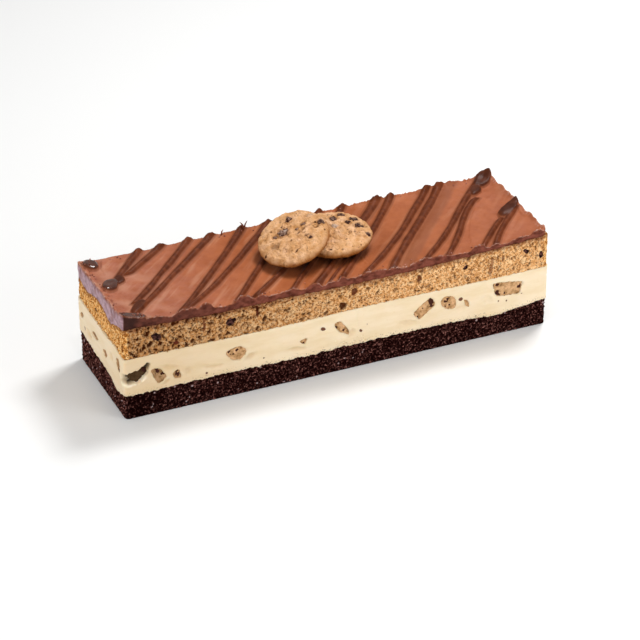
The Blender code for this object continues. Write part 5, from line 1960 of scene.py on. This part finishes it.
@dataclass(frozen=True)
class Lamp:
    """A square soft light: the middle and side in mm, the power in watts."""

    name: str
    place: tuple[float, float, float]
    size: float
    power: float

    def build(self, target: Vector) -> None:
        """Hangs the light so that it faces the target."""
        data = bpy.data.lights.new(self.name, "AREA")
        data.shape = "SQUARE"
        data.size = self.size * METRE
        data.energy = self.power
        lamp = bpy.data.objects.new(self.name, data)
        lamp.location = Vector(self.place) * METRE
        lamp.rotation_mode = "QUATERNION"
        lamp.rotation_quaternion = (target * METRE - lamp.location).to_track_quat("-Z", "Y")
        bpy.context.scene.collection.objects.link(lamp)


@dataclass
class Studio:
    """The pale floor, the soft lights and the camera at the photograph's angle."""

    floor_size: float = 6000.0
    floor_drop: float = 0.2
    lens: float = 146.25
    sensor: float = 36.0
    camera_place: tuple[float, float, float] = (-563.68, -1266.50, 817.76)
    camera_right: tuple[float, float, float] = (0.91283, -0.40833, 0.0)
    camera_up: tuple[float, float, float] = (0.20478, 0.45780, 0.86515)
    world_strength: float = 0.34
    target: tuple[float, float, float] = (0.0, 0.0, 40.0)
    lamps: tuple[Lamp, ...] = (
        Lamp("key_softbox", (520, 330, 1050), 340, 9.2),
        Lamp("glint_lamp", (-142, -373, 1089), 50, 0.6),
        Lamp("left_softbox", (-1000, -300, 600), 500, 5.0),
        Lamp("front_softbox", (480, -690, 320), 420, 2.7),
        Lamp("low_softbox", (-420, -850, 230), 110, 0.35),
    )

    def floor(self) -> None:
        """A large pale matt sheet just under the cake."""
        x, y = np.array([(-1, -1), (1, -1), (1, 1), (-1, 1)]).T * self.floor_size / 2
        mix = Recipe("pale_studio_floor")
        tone = mix.ramp(mix.noise(400.0, 1.0), (0.0, "#F4F4F3"), (1.0, "#F8F8F7"))
        material = mix.finish(tone, mix.bump(mix.noise(50.0, 1.0), 0.01), 0.9, {})
        corners = on_floor(x, y) - [0.0, 0.0, self.floor_drop]
        put_mesh("floor", corners, (np.array([[0, 1, 2, 3]]),), {}, material)

    def camera(self) -> None:
        """Places the camera by its right, up and backward ways."""
        data = bpy.data.cameras.new("camera")
        data.lens = self.lens
        data.sensor_width = self.sensor
        data.clip_start, data.clip_end = 0.05, 20.0
        right, up = Vector(self.camera_right), Vector(self.camera_up)
        turn = Matrix((right, up, right.cross(up).normalized())).transposed().to_4x4()
        shooter = bpy.data.objects.new("camera", data)
        shooter.matrix_world = Matrix.Translation(Vector(self.camera_place) * METRE) @ turn
        bpy.context.scene.collection.objects.link(shooter)
        bpy.context.scene.camera = shooter

    def build(self) -> None:
        """Sets up the whole studio."""
        scene = bpy.context.scene
        scene.world = bpy.data.worlds.new("studio")
        scene.world.use_nodes = True
        sky = scene.world.node_tree.nodes["Background"]
        sky.inputs["Color"].default_value = linear("#FFFFFF")
        sky.inputs["Strength"].default_value = self.world_strength
        scene.view_settings.view_transform = "Standard"
        self.floor()
        for lamp in self.lamps:
            lamp.build(Vector(self.target))
        self.camera()


def main() -> None:
    """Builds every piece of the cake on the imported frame, and then the studio."""
    logging.basicConfig(level=logging.INFO)
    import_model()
    dough = DoughChunks()
    pieces = [ChocolateSponge().build(), GoldenSponge().build()]
    pieces += [VanillaCream(dough.all()).build(), *dough.build()]
    topping = ChocolateTopping()
    pieces += [topping.build(), LOWER_COOKIE.build(), UPPER_COOKIE.build()]
    pieces += [*Crumbs(topping).build(), Burrs().build()]
    for piece in pieces:
        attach(piece, "root")
        LOG.info("%s: %d faces", piece.name, len(piece.data.polygons))
    Studio().build()


if __name__ == "__main__":
    main()
